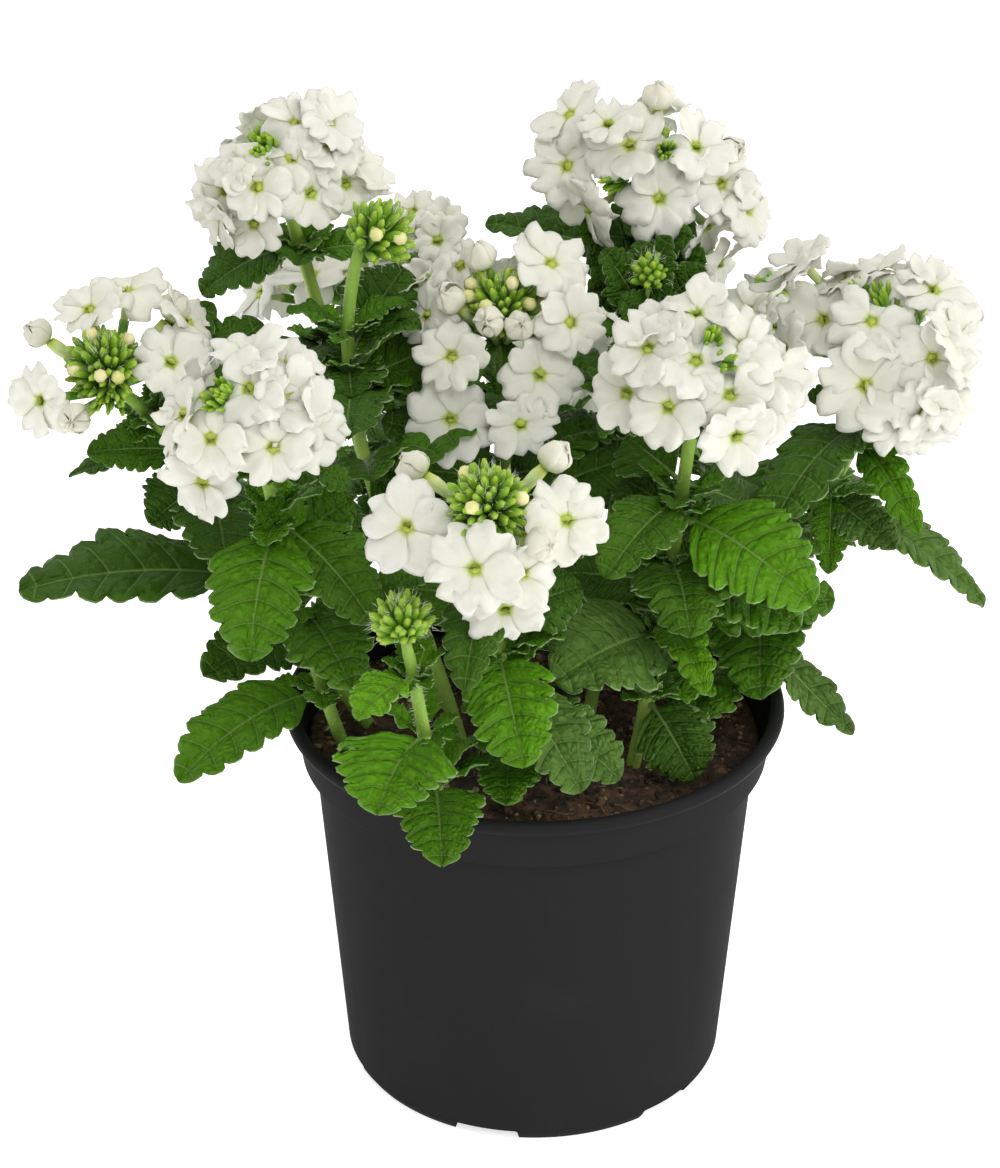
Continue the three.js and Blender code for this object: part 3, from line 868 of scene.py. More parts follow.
SHOOTS = (
    Shoot(
        "top_left", HeadKind.FULL, (-20, 12), (-59, 18, 224), (-0.2, -0.3, 0.93), 18, 10,
        (SetLeaf(0.86, (-77, 10, 198), 15, -20, Tone.DARK), SetLeaf(0.84, (-34, 24, 203), 13, 20, Tone.MID)),
        (LeafPair(0.66, 80, 30, 19, 8, Tone.DARK), LeafPair(0.34, 75, 34, 22, -2, Tone.DARK)),
        ((257, 186, 0.5), (313, 194, 0.5), (347, 183, 0.3, 1.05), (334, 142, 0.2, 1.05), (330, 120, 0.05, 1.1),
         (298, 119, 0.0),
         (222, 191, 0.0, 1, 0.95), (251, 226, 0.3), (366, 164, 0.1, 1.15), (292, 155, 0.3, 0.94),
         (238, 162, 0.0, 1, 0.9),
         (212, 219, 0.0, 1.1)),
        greens=((257, 155), (267, 139)), radius=8.5, behind=0.5,
        fillers=(Filler(0.84, (296, 262), 8, 12, Tone.MID),),
    ),
    Shoot(
        "top_right", HeadKind.FULL, (14, 18), (28, 45, 213), (0.1, -0.3, 0.95), 21, 30,
        (SetLeaf(0.83, (-14, 45, 203), 16, -15, Tone.DARK, 0.05, 10),),
        (LeafPair(0.78, 95, 26, 17, 10, Tone.MID), LeafPair(0.58, 20, 34, 22, 5, Tone.DARK),
         LeafPair(0.34, 110, 34, 22, -4), LeafPair(0.16, 10, 34, 24, 0)),
        ((567, 165, 1.1, 1.05, 1.05), (660, 199, 0.9), (569, 113, 0.4, 1.2, 1.05), (727, 183, 0.25, 1.05, 0.95),
         (586, 212, -0.2),
         (700, 143, -0.2, 1.05, 0.9), (750, 208, 0.1, 1.2), (628, 142, 0.3, 0.97), (722, 264, 0.0, 1.25, 0.9),
         (713, 232, -0.2),
         (608, 122, 0.0, 1.08, 0.75)),
        ((659, 92, 0, 1.2), (736, 150, 0, 1.15)), greens=((668, 148), (608, 186)), radius=10.3, behind=0.45,
        fillers=(Filler(0.8, (588, 268), 30, 17), Filler(0.8, (704, 262), 26, 16, Tone.DEEP),
                 Filler(0.72, (612, 300), 20, 15), Filler(0.86, (575, 236), 34, 14),
                 Filler(0.76, (590, 294), 24, 16),
                 Filler(0.82, (690, 236), 20, 13, Tone.DEEP), Filler(0.8, (660, 300), 18, 16)),
    ),
    Shoot(
        "left_edge", HeadKind.OPEN, (-36, 5), (-96.5, -4, 181), (-0.4, -0.7, 0.6), 19.5, 100,
        (SetLeaf(0.84, (-108, -4, 160), 9, 0, Tone.DARK, -0.24, 1),
         SetLeaf(0.8, (-77, 8, 189), 16, 0, Tone.DARK),
         SetLeaf(0.38, (-121, -8, 130), 25, -15, Tone.DARK, 0.17, -0.7),
         SetLeaf(0.24, (-77, -24, 117), 18, -25, Tone.DARK)),
        (LeafPair(0.58, 100, 32, 20, -6, Tone.DARK),),
        ((170, 362, 0.8), (34, 402, 0.0, 1.2, 0.95), (88, 308, 0.4, 1.05, 0.9), (127, 282, 0.3, 1.2),
         (190, 320, 0.1, 1.2)),
        ((34, 330, 0, 1.2), (73, 421, 0, 1.15), (178, 306, 0, 1.2)),
        ((69, 370), (120, 379), (100, 377), (139, 327), (89, 329)), ((98, 402), (118, 404)), behind=0.85,
        radius=9.4, crown=(-0.1, -0.62, 0.72),
        fillers=(Filler(0.72, (88, 452), -8, 12, Tone.DEEP), Filler(0.62, (150, 522), -6, 16),
                 Filler(0.82, (262, 322), 4, 18), Filler(0.84, (212, 302), 8, 13)),
    ),
    Shoot(
        "left_front", HeadKind.FULL, (-42, -12), (-62, -46, 192), (-0.1, -0.5, 0.86), 18.5, 0,
        (SetLeaf(0.7, (-63, -66, 144), 23, 0, Tone.MID), SetLeaf(0.7, (-36, -56, 148), 18, 15, Tone.DEEP),
         SetLeaf(0.46, (-41, -58, 133), 20, 10, Tone.DEEP), SetLeaf(0.24, (-81, -50, 103), 19, -10, Tone.MID,
                                                                    0.25, 5.5)),
        (LeafPair(0.84, 160, 20, 13, 0),),
        ((210, 438), (274, 449), (311, 436, 0.4), (294, 391, 0.3), (202, 482, 0.4), (284, 360, 0.0),
         (246, 352, 0.0),
         (164, 443, 0.0), (322, 412, 0.0), (176, 412, 0.0), (248, 388, 0.3, 0.95)),
        greens=((210, 402), (222, 387)), radius=8.9,
        fillers=(Filler(0.6, (262, 505), -40, 17, Tone.MID), Filler(0.62, (352, 498), -30, 16, Tone.DEEP)),
    ),
    Shoot(
        "centre_high", HeadKind.OPEN, (-3, 0), (-8, 8, 188), (0, -0.4, 0.92), 21, 0,
        (SetLeaf(0.8, (-40, -6, 186), 17, 0, Tone.DEEP),),
        (LeafPair(0.82, 100, 22, 15, 10), LeafPair(0.6, 20, 34, 22, 5), LeafPair(0.36, 110, 34, 22, 0),
         LeafPair(0.2, 10, 34, 24, 0)),
        ((452, 355, 0.8, 1, 0.9), (542, 376, 0.8), (571, 322, 0.7, 1.1, 0.88), (448, 423, 0.9, 1.25, 1.05),
         (520, 424, 0.5, 1.2, 0.85), (423, 271, 0.0, 1.1, 0.85), (551, 262, 0.3, 1.1),
         (420, 313, 0.0, 1, 0.85)),
        ((447, 297), (520, 325), (478, 252, 0, 1.15), (556, 287), (487, 322)),
        ((467, 281), (464, 295), (514, 280), (534, 304), (484, 306)), behind=0.6,
        fillers=(Filler(0.74, (348, 338), 12, 17), Filler(0.66, (382, 420), 2, 17),
                 Filler(0.55, (648, 452), 14, 17),
                 Filler(0.6, (420, 470), -8, 16), Filler(0.62, (560, 470), -6, 16),
                 Filler(0.5, (368, 462), -2, 17)),
    ),
    Shoot(
        "centre_low", HeadKind.OPEN, (-4, -30), (-11, -62, 176), (0, -0.7, 0.7), 19.5, 0,
        (SetLeaf(0.74, (-16, -82, 146), 14, 0, Tone.DARK), SetLeaf(0.5, (-3, -74, 122), 20, 10, Tone.BRIGHT),
         SetLeaf(0.42, (10, -65, 110), 18, 15, Tone.GREY), SetLeaf(0.34, (19, -56, 108), 17, 20, Tone.GREY),
         SetLeaf(0.2, (-7, -60, 104), 15, 0, Tone.MID)),
        (LeafPair(0.8, 20, 22, 15, -5),),
        ((407, 527, 1), (474, 571, 1), (567, 520, 1, 1, 0.9), (524, 577, 0.8, 0.92, 0.8),
         (505, 610, 0.6, 0.98, 0.82)),
        ((409, 464, 0, 1.1), (558, 454, 0, 1.15), (544, 546)),
        ((461, 466), (527, 497), (470, 508)), behind=0.8, radius=10.9,
        fillers=(Filler(0.66, (372, 585), -42, 16, Tone.DEEP), Filler(0.6, (582, 585), -38, 16)),
    ),
    Shoot(
        "mid_right", HeadKind.FULL, (22, -16), (36, -22, 191), (0.05, -0.5, 0.86), 19.5, 40,
        (SetLeaf(0.66, (15, -42, 152), 16, -15, Tone.DEEP), SetLeaf(0.62, (62, -40, 144), 24, 25, Tone.BRIGHT),
         SetLeaf(0.34, (4, -46, 128), 26, -30, Tone.GREY), SetLeaf(0.46, (60, -34, 135), 22, 15, Tone.MID),
         SetLeaf(0.36, (38, -46, 125), 11, 0, Tone.YOUNG), SetLeaf(0.2, (37, -33, 94), 19, 20, Tone.DARK)),
        (LeafPair(0.84, 10, 22, 15, 5), LeafPair(0.5, 95, 34, 22, 0)),
        ((647, 347, 0.2), (655, 318, 0.0), (697, 311, 0.0), (622, 393, 0.4), (668, 406), (732, 395),
         (777, 401, 0.0),
         (739, 441, 0.2, 1.1), (770, 372, 0.1), (697, 358, 0.3, 0.95), (745, 345, 0.0, 0.97)),
        greens=((714, 332), (730, 361)), radius=9.6,
        fillers=(Filler(0.42, (836, 600), -14, 18, Tone.DEEP), Filler(0.7, (626, 436), 4, 17, Tone.DEEP),
                 Filler(0.46, (552, 572), -8, 20), Filler(0.7, (748, 508), 6, 16),
                 Filler(0.4, (568, 592), -12, 20, Tone.DEEP),
                 Filler(0.62, (622, 478), 2, 16), Filler(0.6, (752, 524), 4, 18, Tone.DEEP)),
    ),
    Shoot(
        "right_edge", HeadKind.FULL, (34, 4), (83, 10, 181), (0.2, -0.4, 0.88), 20, 15,
        (SetLeaf(0.8, (52, -26, 154), 18, 0, Tone.DARK), SetLeaf(0.76, (88, -14, 149), 10, 20, Tone.BRIGHT),
         SetLeaf(0.6, (106, -5, 125), 16, -5, Tone.GREY, 0.13),
         SetLeaf(0.36, (52, -26, 112), 23, 15, Tone.DEEP),
         SetLeaf(0.28, (77, -3, 89), 11.5, 25, Tone.GREY, -0.06)),
        (LeafPair(0.86, 80, 20, 14, 5), LeafPair(0.5, 60, 34, 22, 0), LeafPair(0.18, 70, 30, 22, 0)),
        ((824, 319, 0.8), (864, 386, 0.8, 1, 1.1), (933, 358, 0.5), (904, 414, 0.4), (957, 338, 0.1, 1.12),
         (937, 284, 0.2, 1.12),
         (784, 284, 0.0, 1.4), (777, 348, 0.0, 1.4), (926, 414, 0.0, 1.05, 0.9), (795, 252, 0.0, 1.25, 0.9),
         (872, 320, 0.2, 0.96),
         (842, 272, 0.0, 1.1, 0.85), (868, 268, 0.0, 1.1), (900, 264, 0.0, 1.15, 0.9),
         (946, 392, 0.0, 1.0, 0.9), (930, 434, -0.1, 1.15, 0.75)),
        greens=((858, 290), (880, 288)), radius=10.4, behind=0.45,
        fillers=(Filler(0.62, (828, 573), -6, 9, Tone.MID), Filler(0.6, (895, 548), -5, 12, Tone.GREY),
                 Filler(0.86, (808, 396), 4, 9)),
    ),
    Shoot(
        "back_centre", HeadKind.FULL, (-8, 26), (-25, 50, 190), (-0.1, 0.1, 0.99), 18, 60,
        (), (LeafPair(0.76, 75, 28, 19, 8), LeafPair(0.46, 150, 34, 22, -4)),
        ((437, 240, 0.2, 1, 0.75), (410, 206, 0.3, 0.95, 0.75), (446, 218, 0.2, 0.9, 0.65),
         (462, 266, 0.2, 1, 0.8),
         (425, 285, 0.0, 1, 0.9)),
        radius=8.6, behind=0.75,
    ),
    Shoot(
        "back_right", HeadKind.FULL, (30, 26), (54, 54, 170), (0.35, 0.2, 0.9), 18, 0,
        (), (LeafPair(0.78, 40, 26, 17, 4), LeafPair(0.56, 120, 34, 22, 0), LeafPair(0.32, 30, 34, 20, -8)),
        ((748, 310, 0.1, 1, 0.8), (778, 324, 0.1, 1, 0.8)), behind=0.78,
    ),
    Shoot(
        "back_left", HeadKind.OPEN, (-24, 32), (-52, 68, 170), (-0.25, 0.35, 0.9), 18, 45,
        (), (LeafPair(0.76, 150, 26, 17, 4), LeafPair(0.52, 60, 34, 22, 0), LeafPair(0.3, 140, 34, 20, -8)),
    ),
    Shoot(
        "back_low", HeadKind.FULL, (4, 38), (8, 84, 146), (0, 0.5, 0.86), 18, 20,
        (), (LeafPair(0.74, 0, 26, 17, 0), LeafPair(0.5, 90, 30, 20, -6)),
    ),
    Shoot(
        "bud_left", HeadKind.BUDS, (-16, -7), (-41, 0, 209), (0.2, -0.1, 0.97), 7.5, 0,
        (SetLeaf(0.72, (-42, -36, 184), 18, 0, Tone.DARK), SetLeaf(0.76, (-22, -6, 191), 16, 0, Tone.DARK)),
        (LeafPair(0.86, 10, 16, 10, 30, Tone.MID), LeafPair(0.46, 30, 30, 20, 0)),
        (), (), ((403, 239), (376, 235)), crown=(0.5, -0.2, 0.8),
        fillers=(Filler(0.82, (404, 266), 14, 19), Filler(0.76, (376, 436), -2, 22, Tone.DEEP),
                 Filler(0.76, (442, 345), 8, 17), Filler(0.6, (404, 500), -2, 20, Tone.DEEP),
                 Filler(0.8, (352, 396), -16, 17), Filler(0.6, (370, 478), -30, 19, Tone.DEEP)),
    ),
    Shoot(
        "bud_front", HeadKind.BUDS, (-19, -38), (-28, -72, 149), (-0.15, -0.2, 0.97), 6, 0,
        (SetLeaf(0.9, (-39, -84, 140), 13, 0, Tone.YOUNG), SetLeaf(0.62, (-35, -90, 120), 26, 0, Tone.BRIGHT),
         SetLeaf(0.32, (-21, -82, 102), 19, 0, Tone.MID)),
    ),
    Shoot(
        "bud_centre", HeadKind.BUDS, (12, 3), (26, 16, 195), (0.05, -0.3, 0.95), 4.4, 0,
        (), (LeafPair(0.86, 60, 20, 15, 25), LeafPair(0.7, 150, 26, 18, 5)),
        fillers=(Filler(0.93, (604, 250), 14, 13), Filler(0.95, (668, 236), 14, 12),
                 Filler(0.93, (704, 268), 12, 13),
                 Filler(0.92, (680, 300), 8, 13), Filler(0.9, (622, 300), 8, 14),
                 Filler(0.95, (640, 240), 20, 11)),
    ),
    Shoot(
        "leafy_back", HeadKind.BUDS, (-34, 20), (-66, 32, 138), (-0.5, 0.3, 0.8), 4.5, 0,
        (), (LeafPair(0.84, 150, 24, 15, 5), LeafPair(0.54, 60, 30, 19, -6)),
    ),
)


# ---------------------------------------------------------------- pot
@dataclass(frozen=True)
class Pot:
    """The moulded pot: a tapered body, a collar, a rolled lip, a floor with drains, and feet."""

    radius: float = 60.0
    height: float = 98.0
    base_radius: float = 46.3
    body_radius: float = 53.0
    collar_radius: float = 56.0
    collar_height: float = 13.5
    mouth_radius: float = 56.3
    lip_height: float = 3.0
    wall: float = 1.3
    foot_height: float = 3.0
    disc_radius: float = 14.0
    floor_top: float = 4.4
    feet: int = 6
    foot_gap: float = 16.0
    first_gap: float = 45.0
    drain_radius: float = 3.2
    drain_circle: float = 29.0
    steps: int = 160
    soft_edge: float = 0.35
    soft_angle: float = 24.0
    sharp_angle: float = 32.0

    def profile(self) -> list[tuple[float, float]]:
        """The outline of the wall.

        Returns:
            Radii and heights, from the middle of the base up, over the lip and down inside.
        """
        collar = self.height - self.collar_height
        base, body, mouth = self.base_radius, self.body_radius, self.mouth_radius
        return [
            (0, 0), (self.disc_radius, 0), (self.disc_radius + 2, self.foot_height), (base - 11, self.foot_height),
            (base - 9.5, 0), (base - 1.6, 0), (base, 2.4), (body, collar - 0.8), (self.collar_radius, collar),
            (self.collar_radius + 1.3, self.height - self.lip_height - 1.2),
            (self.collar_radius + 2.2, self.height - self.lip_height - 0.7),
            (self.radius - 0.5, self.height - self.lip_height + 0.1), (self.radius, self.height - 1.9),
            (self.radius - 0.3, self.height - 0.7), (self.radius - 1.1, self.height), (mouth + 1.3, self.height),
            (mouth + 0.3, self.height - 0.6), (mouth - 0.2, self.height - self.lip_height),
            (mouth - self.wall, collar + 1.2), (body - self.wall, collar - 0.8),
            (base - self.wall - 0.2, self.floor_top + 1.5), (base - self.wall - 2.2, self.floor_top),
            (0, self.floor_top),
        ]

    def _shell(self, piece: Piece) -> None:
        """Spins the profile into the shell and softens its turned edges.

        Args:
            piece: the piece that gets the shell.
        """
        bm = Piece.fresh()
        verts = [bm.verts.new((r, 0, z)) for r, z in self.profile()]
        edges = [bm.edges.new(pair) for pair in zip(verts, verts[1:])]
        bmesh.ops.spin(
            bm, geom=[*verts, *edges], cent=(0, 0, 0), axis=(0, 0, 1), angle=math.tau, steps=self.steps,
            use_merge=True,
        )
        bmesh.ops.remove_doubles(bm, verts=bm.verts, dist=0.001)
        bmesh.ops.recalc_face_normals(bm, faces=bm.faces)
        turned_edges = [e for e in bm.edges if e.calc_face_angle(0) > math.radians(self.soft_angle)]
        rims = [e for e in turned_edges if abs(e.verts[0].co.z - e.verts[1].co.z) < 1e-4]
        bmesh.ops.bevel(
            bm, geom=rims, offset=self.soft_edge, offset_type="OFFSET", affect="EDGES", segments=2, profile=0.5,
            material=-1, clamp_overlap=True,
        )
        piece.join(bm)

    def _cutter(self) -> bpy.types.Object:
        """Makes the slots between the feet and the drain holes.

        Returns:
            One cutting object.
        """
        bm = bmesh.new()
        for k in range(self.feet):
            turn = Matrix.Rotation(math.radians(self.first_gap - 90 + 360 * k / self.feet), 4, "Z")
            slot = turn @ Matrix.Translation((self.base_radius - 4, 0, self.foot_height / 2 - 1))
            size = Matrix.Diagonal((16, self.foot_gap, self.foot_height + 2, 1))
            made = bmesh.ops.create_cube(bm, size=1, matrix=slot @ size)["verts"]
            upright = {e for v in made for e in v.link_edges if abs(e.verts[0].co.z - e.verts[1].co.z) < 1e-3}
            top = [e for e in upright if e.verts[0].co.z > self.foot_height - 0.1]
            bmesh.ops.bevel(bm, geom=top, offset=0.6, segments=3, profile=0.5, affect="EDGES", material=-1)
            drain = turn @ Matrix.Translation((self.drain_circle, 0, 3))
            bmesh.ops.create_cone(
                bm, cap_ends=True, segments=32, radius1=self.drain_radius, radius2=self.drain_radius, depth=12,
                matrix=drain,
            )
        bmesh.ops.scale(bm, vec=(MM, MM, MM), verts=bm.verts)
        mesh = bpy.data.meshes.new("cutter")
        bm.to_mesh(mesh)
        bm.free()
        cutter = bpy.data.objects.new("cutter", mesh)
        bpy.context.scene.collection.objects.link(cutter)
        return cutter

    def build(self, plastic: bpy.types.Material) -> None:
        """Models the pot and cuts its slots and drains.

        Args:
            plastic: its finish.
        """
        piece = Piece("pot_shell")
        self._shell(piece)
        pot = piece.finish([plastic], "pot_plastic", ["pot"])
        cutter = self._cutter()
        cut = pot.modifiers.new("slots", "BOOLEAN")
        cut.operation = "DIFFERENCE"
        cut.solver = "EXACT"
        cut.object = cutter
        shaped = pot.evaluated_get(bpy.context.evaluated_depsgraph_get())
        mesh = bpy.data.meshes.new_from_object(shaped)
        pot.modifiers.clear()
        pot.data = mesh
        bpy.data.objects.remove(cutter)
        for polygon in mesh.polygons:
            polygon.use_smooth = True
        mesh.set_sharp_from_angle(angle=math.radians(self.sharp_angle))


# ---------------------------------------------------------------- soil
@dataclass(frozen=True)
class Soil:
    """Peat that fills the pot: a lumpy surface, loose crumbs and fibres."""

    top: float = 88.5
    surface_radius: float = 54.2
    outline: tuple[tuple[float, float], ...] = ((51.1, 83.7), (44.2, 6.3), (42.0, 4.8))
    grid: int = 120
    crumbs: int = 1500
    fibres: int = 300
    shades: tuple[Colour, ...] = ((0.03, 0.018, 0.011), (0.08, 0.04, 0.021), (0.15, 0.08, 0.042), (0.3, 0.2, 0.12))

    def height(self, x: float, y: float) -> float:
        """The height of the soil's surface without its clods.

        Args:
            x: the place across.
            y: the place in depth.

        Returns:
            The height.
        """
        r = math.hypot(x, y)
        lumps = 0.6 * math.sin(x * 0.21 + 1) * math.cos(y * 0.17) + 0.35 * math.sin(x * 0.5 + y * 0.43)
        return self.top - 1.6 * (r / 54) ** 2 + lumps

    def lumpy(self, x: float, y: float) -> float:
        """The height of the soil's surface with its clods.

        Args:
            x: the place across.
            y: the place in depth.

        Returns:
            The height.
        """
        at = Vector((x, y, 0))
        clods = noise.fractal(at * 0.22, 0.9, 2.2, 4) * 1.2 + noise.noise(at * 1.1) * 0.5
        return self.height(x, y) + clods * ease(self.surface_radius - at.length, 0, 3)

    def _body(self, piece: Piece) -> None:
        """The body: a disc of soil whose rim is drawn down inside the pot's wall.

        Args:
            piece: the piece that gets the body.
        """
        bm = Piece.fresh()
        bmesh.ops.create_grid(bm, x_segments=self.grid, y_segments=self.grid, size=1)
        rim = [e for e in bm.edges if e.is_boundary]
        for vert in bm.verts:
            x, y = vert.co.x, vert.co.y
            flat = Vector((x * math.sqrt(1 - y * y / 2), y * math.sqrt(1 - x * x / 2))) * self.surface_radius
            vert.co = (flat.x, flat.y, self.lumpy(flat.x, flat.y))
        for radius, z in self.outline:
            made = bmesh.ops.extrude_edge_only(bm, edges=rim)["geom"]
            fresh = [item for item in made if isinstance(item, bmesh.types.BMVert)]
            inside = set(fresh)
            rim = [e for e in made if isinstance(e, bmesh.types.BMEdge) and inside.issuperset(e.verts)]
            for vert in fresh:
                flat = vert.co.xy.normalized() * radius
                vert.co = (flat.x, flat.y, z)
        bmesh.ops.contextual_create(bm, geom=rim)
        bmesh.ops.recalc_face_normals(bm, faces=bm.faces)
        for face in bm.faces:
            face.smooth = len(face.verts) < 5
        piece.join(bm)

    def _spot(self, rng: random.Random, margin: float) -> tuple[float, float]:
        """A random place on the surface, at least a margin inside its rim."""
        r, turn = math.sqrt(rng.random()) * (self.surface_radius - margin), rng.random() * math.tau
        return r * math.cos(turn), r * math.sin(turn)

    def _crumbs(self, piece: Piece, rng: random.Random) -> None:
        """Adds the crumbs that lie on the surface, each in one of the soil's shades.

        Args:
            piece: the piece that gets them.
            rng: where their differences come from.
        """
        bm = Piece.fresh()
        layer = bm.verts.layers.float_color["tint"]
        for _ in range(self.crumbs):
            x, y = self._spot(rng, 1.5)
            size = 0.35 + 0.75 * rng.random() ** 2.5
            squash = Vector((size * (0.8 + 0.9 * rng.random()), size, size * (0.6 + 0.3 * rng.random())))
            spin = Quaternion(Vector((rng.random() - 0.5, rng.random() - 0.5, 1)), rng.random() * math.tau)
            at = Vector((x, y, self.lumpy(x, y) + size * 0.25))
            place = Matrix.LocRotScale(at, spin, squash)
            made = bmesh.ops.create_icosphere(bm, subdivisions=1, radius=1, matrix=place)
            shade = self.shades[min(3, int(rng.random() ** 1.5 * 4))]
            for vert in made["verts"]:
                vert[layer] = (*shade, 1)
        piece.join(bm)

    def _fibres(self, piece: Piece, rng: random.Random) -> None:
        """Adds the short bent fibres that lie on the surface.

        Args:
            piece: the piece that gets them.
            rng: where their differences come from.
        """
        for _ in range(self.fibres):
            x, y = self._spot(rng, 5)
            way = rng.random() * math.tau
            length = 2 + 6 * rng.random() ** 2
            bend = rng.uniform(-0.25, 0.25) * length
            path = []
            for s in (0, 0.25, 0.5, 0.75, 1):
                along, aside = length * s, bend * 4 * s * (1 - s)
                px = x + math.cos(way) * along - math.sin(way) * aside
                py = y + math.sin(way) * along + math.cos(way) * aside
                path.append(Vector((px, py, self.lumpy(px, py) + 0.3 + 0.8 * math.sin(math.pi * s) * rng.random())))
            shade = blend((0.09, 0.04, 0.02), (0.4, 0.27, 0.15), rng.random() ** 2)
            piece.sweep(path, [0.16, 0.18, 0.16, 0.13, 0.08], [shade] * 5, sides=3)

    def build(self, peat: bpy.types.Material, crumb: bpy.types.Material) -> None:
        """Models the soil and its litter.

        Args:
            peat: the body's finish.
            crumb: the litter's finish.
        """
        body = Piece("peat_body")
        self._body(body)
        body.finish([peat], "potting_soil", ["soil"])
        litter, rng = Piece("peat_crumbs"), random.Random("litter")
        self._crumbs(litter, rng)
        self._fibres(litter, rng)
        litter.finish([crumb], "potting_soil", ["soil"])


SOIL = Soil()


# ---------------------------------------------------------------- leaves
@dataclass(frozen=True)
class Leaf:
    """A leaf between its foot on the stem and its tip, with rounded lobes and puckers between its veins.

    The blade is a grid of `columns` faces across, and `fineness` along each lobe. `roll` turns it about its run, in
    degrees. `arch`, `fold`, `lobe_depth` and `pucker` are shares of its length or its width.
    """

    foot: Vector
    tip: Vector
    width: float
    roll: float
    tone: Tone
    seed: int
    lobes: int
    fineness: int
    columns: int = 16
    stalk_share: float = 0.14
    arch: float = 0.26
    fold: float = 0.3
    lobe_depth: float = 0.35
    slant: float = 0.85
    pucker: float = 0.038
    mapped_lobes: int = 7
    stalk_steps: int = 8

    def _frame(self) -> tuple[list[Vector], Vector]:
        """Lays out the midrib.

        Returns:
            Its control points, and the direction across the blade.
        """
        along = self.tip - self.foot
        side = turned(along.cross(UP).normalized(), along.normalized(), self.roll)
        crown = self.foot.lerp(self.tip, 0.5) + side.cross(along) * self.arch
        return [self.foot, crown, self.tip], side

    def _vein_end(self, v: float, length: float) -> tuple[float, float]:
        """Follows a side vein from the midrib to the edge.

        Args:
            v: the share of the blade where it starts.
            length: the leaf's length.

        Returns:
            The share of the blade where it ends, and the half width there.
        """
        end, half = v, 0.0
        for _ in range(6):
            half = max(0.22, self.width / 2 * math.sin(math.pi * end**0.75) ** 0.5)
            end = min(1.0, v + self.slant * half / length * (1 - v) ** 0.4)
        return end, half

    def build(self, blades: Piece, stalks: Piece) -> None:
        """Adds the blade to one piece, and the stalk and midrib to another.

        Args:
            blades: the piece that gets the blade.
            stalks: the piece that gets the stalk and midrib.
        """
        midrib, side = self._frame()
        rng = random.Random(self.seed)
        length = (self.tip - self.foot).length
        wave, phase, lean = rng.uniform(0.4, 1.3), rng.random() * math.tau, rng.uniform(-0.06, 0.06)
        base = blend(self.tone.value, Tone.MID.value, rng.uniform(0, 0.22))
        extents = [[rng.uniform(0.62, 1.22) for _ in range(self.lobes + 1)] for _ in range(2)]
        ends = {}

        def surface(u: float, v: float) -> Vector:
            """The point of the blade for a place on its grid.

            Args:
                u: the share across.
                v: the share along.

            Returns:
                The point.
            """
            s = 2 * u - 1
            off = abs(s)
            v = min(1.0, max(0.0, v))
            if v not in ends:
                ends[v] = self._vein_end(v, length)
            end, half = ends[v]
            place = abs(2 * (self.lobes * v % 1) - 1)
            lobe = math.sqrt(max(0.0, 1 - place**3)) - 0.07 * abs(math.sin(math.pi * 3 * self.lobes * v))
            extent = extents[s > 0][int(self.lobes * v + 1e-6)]
            x = s * half * (1.1 - self.lobe_depth * (1 - lobe * extent) * off**2 * min(1, 6 * (1 - v)))
            t = min(1.0, v + (end - v) * off + 0.2 / self.lobes * lobe * off**3 * (1 - v))
            at = bezier(midrib, self.stalk_share + (1 - self.stalk_share) * t)
            way = heading(midrib, t)
            normal = side.cross(way).normalized()
            rise = self.fold * abs(x) * (1 - 0.4 * off) + lean * x
            plump = abs(math.cos(math.pi * self.lobes * v)) * (0.75 + 0.25 * math.cos(off * 14))
            rise += self.pucker * self.width * plump * min(1, off * 2.6) * (1 - 0.45 * off) * min(1, half / 4)
            rise += wave * math.sin(phase + s * 1.6 + v * 10) * off * off * min(1, half / 5)
            rise += noise.noise(Vector((x * 0.3, t * length * 0.3, self.seed * 0.37))) * 0.05 * self.width * off
            rise -= 0.05 * self.width * off**4 + 0.5 * math.exp(-((x / 0.9) ** 2))
            return at + side * x + normal * rise

        def tint(u: float, v: float) -> Colour:
            """Paler towards the stalk, with a slight difference between the halves."""
            shade = 1 + 0.12 * math.sin(phase + 3 * u) + 0.16 * (1 - v) ** 3
            return tuple(c * shade for c in base)

        blades.sheet(self.columns, self.lobes * self.fineness, surface, tint, self.lobes / self.mapped_lobes)
        self._stalk(stalks, blend(base, (0.28, 0.42, 0.1), 0.4))

    def _stalk(self, stalks: Piece, colour: Colour) -> None:
        """Adds the stalk and the midrib, which thins along the underside.

        Args:
            stalks: the piece that gets them.
            colour: their colour.
        """
        midrib, side = self._frame()
        path, radii, thick = [], [], min(0.85, self.width * 0.045)
        for k in range(self.stalk_steps + 1):
            t = k / self.stalk_steps * 0.75
            way = heading(midrib, max(0.0, (t - self.stalk_share) / (1 - self.stalk_share)))
            path.append(bezier(midrib, t) - side.cross(way).normalized() * (0.3 + 0.5 * thick * ease(t, 0, 0.14)))
            radii.append(mix(thick, thick * 0.3, k / self.stalk_steps))
        stalks.sweep(path, radii, [colour] * len(path), sides=6)


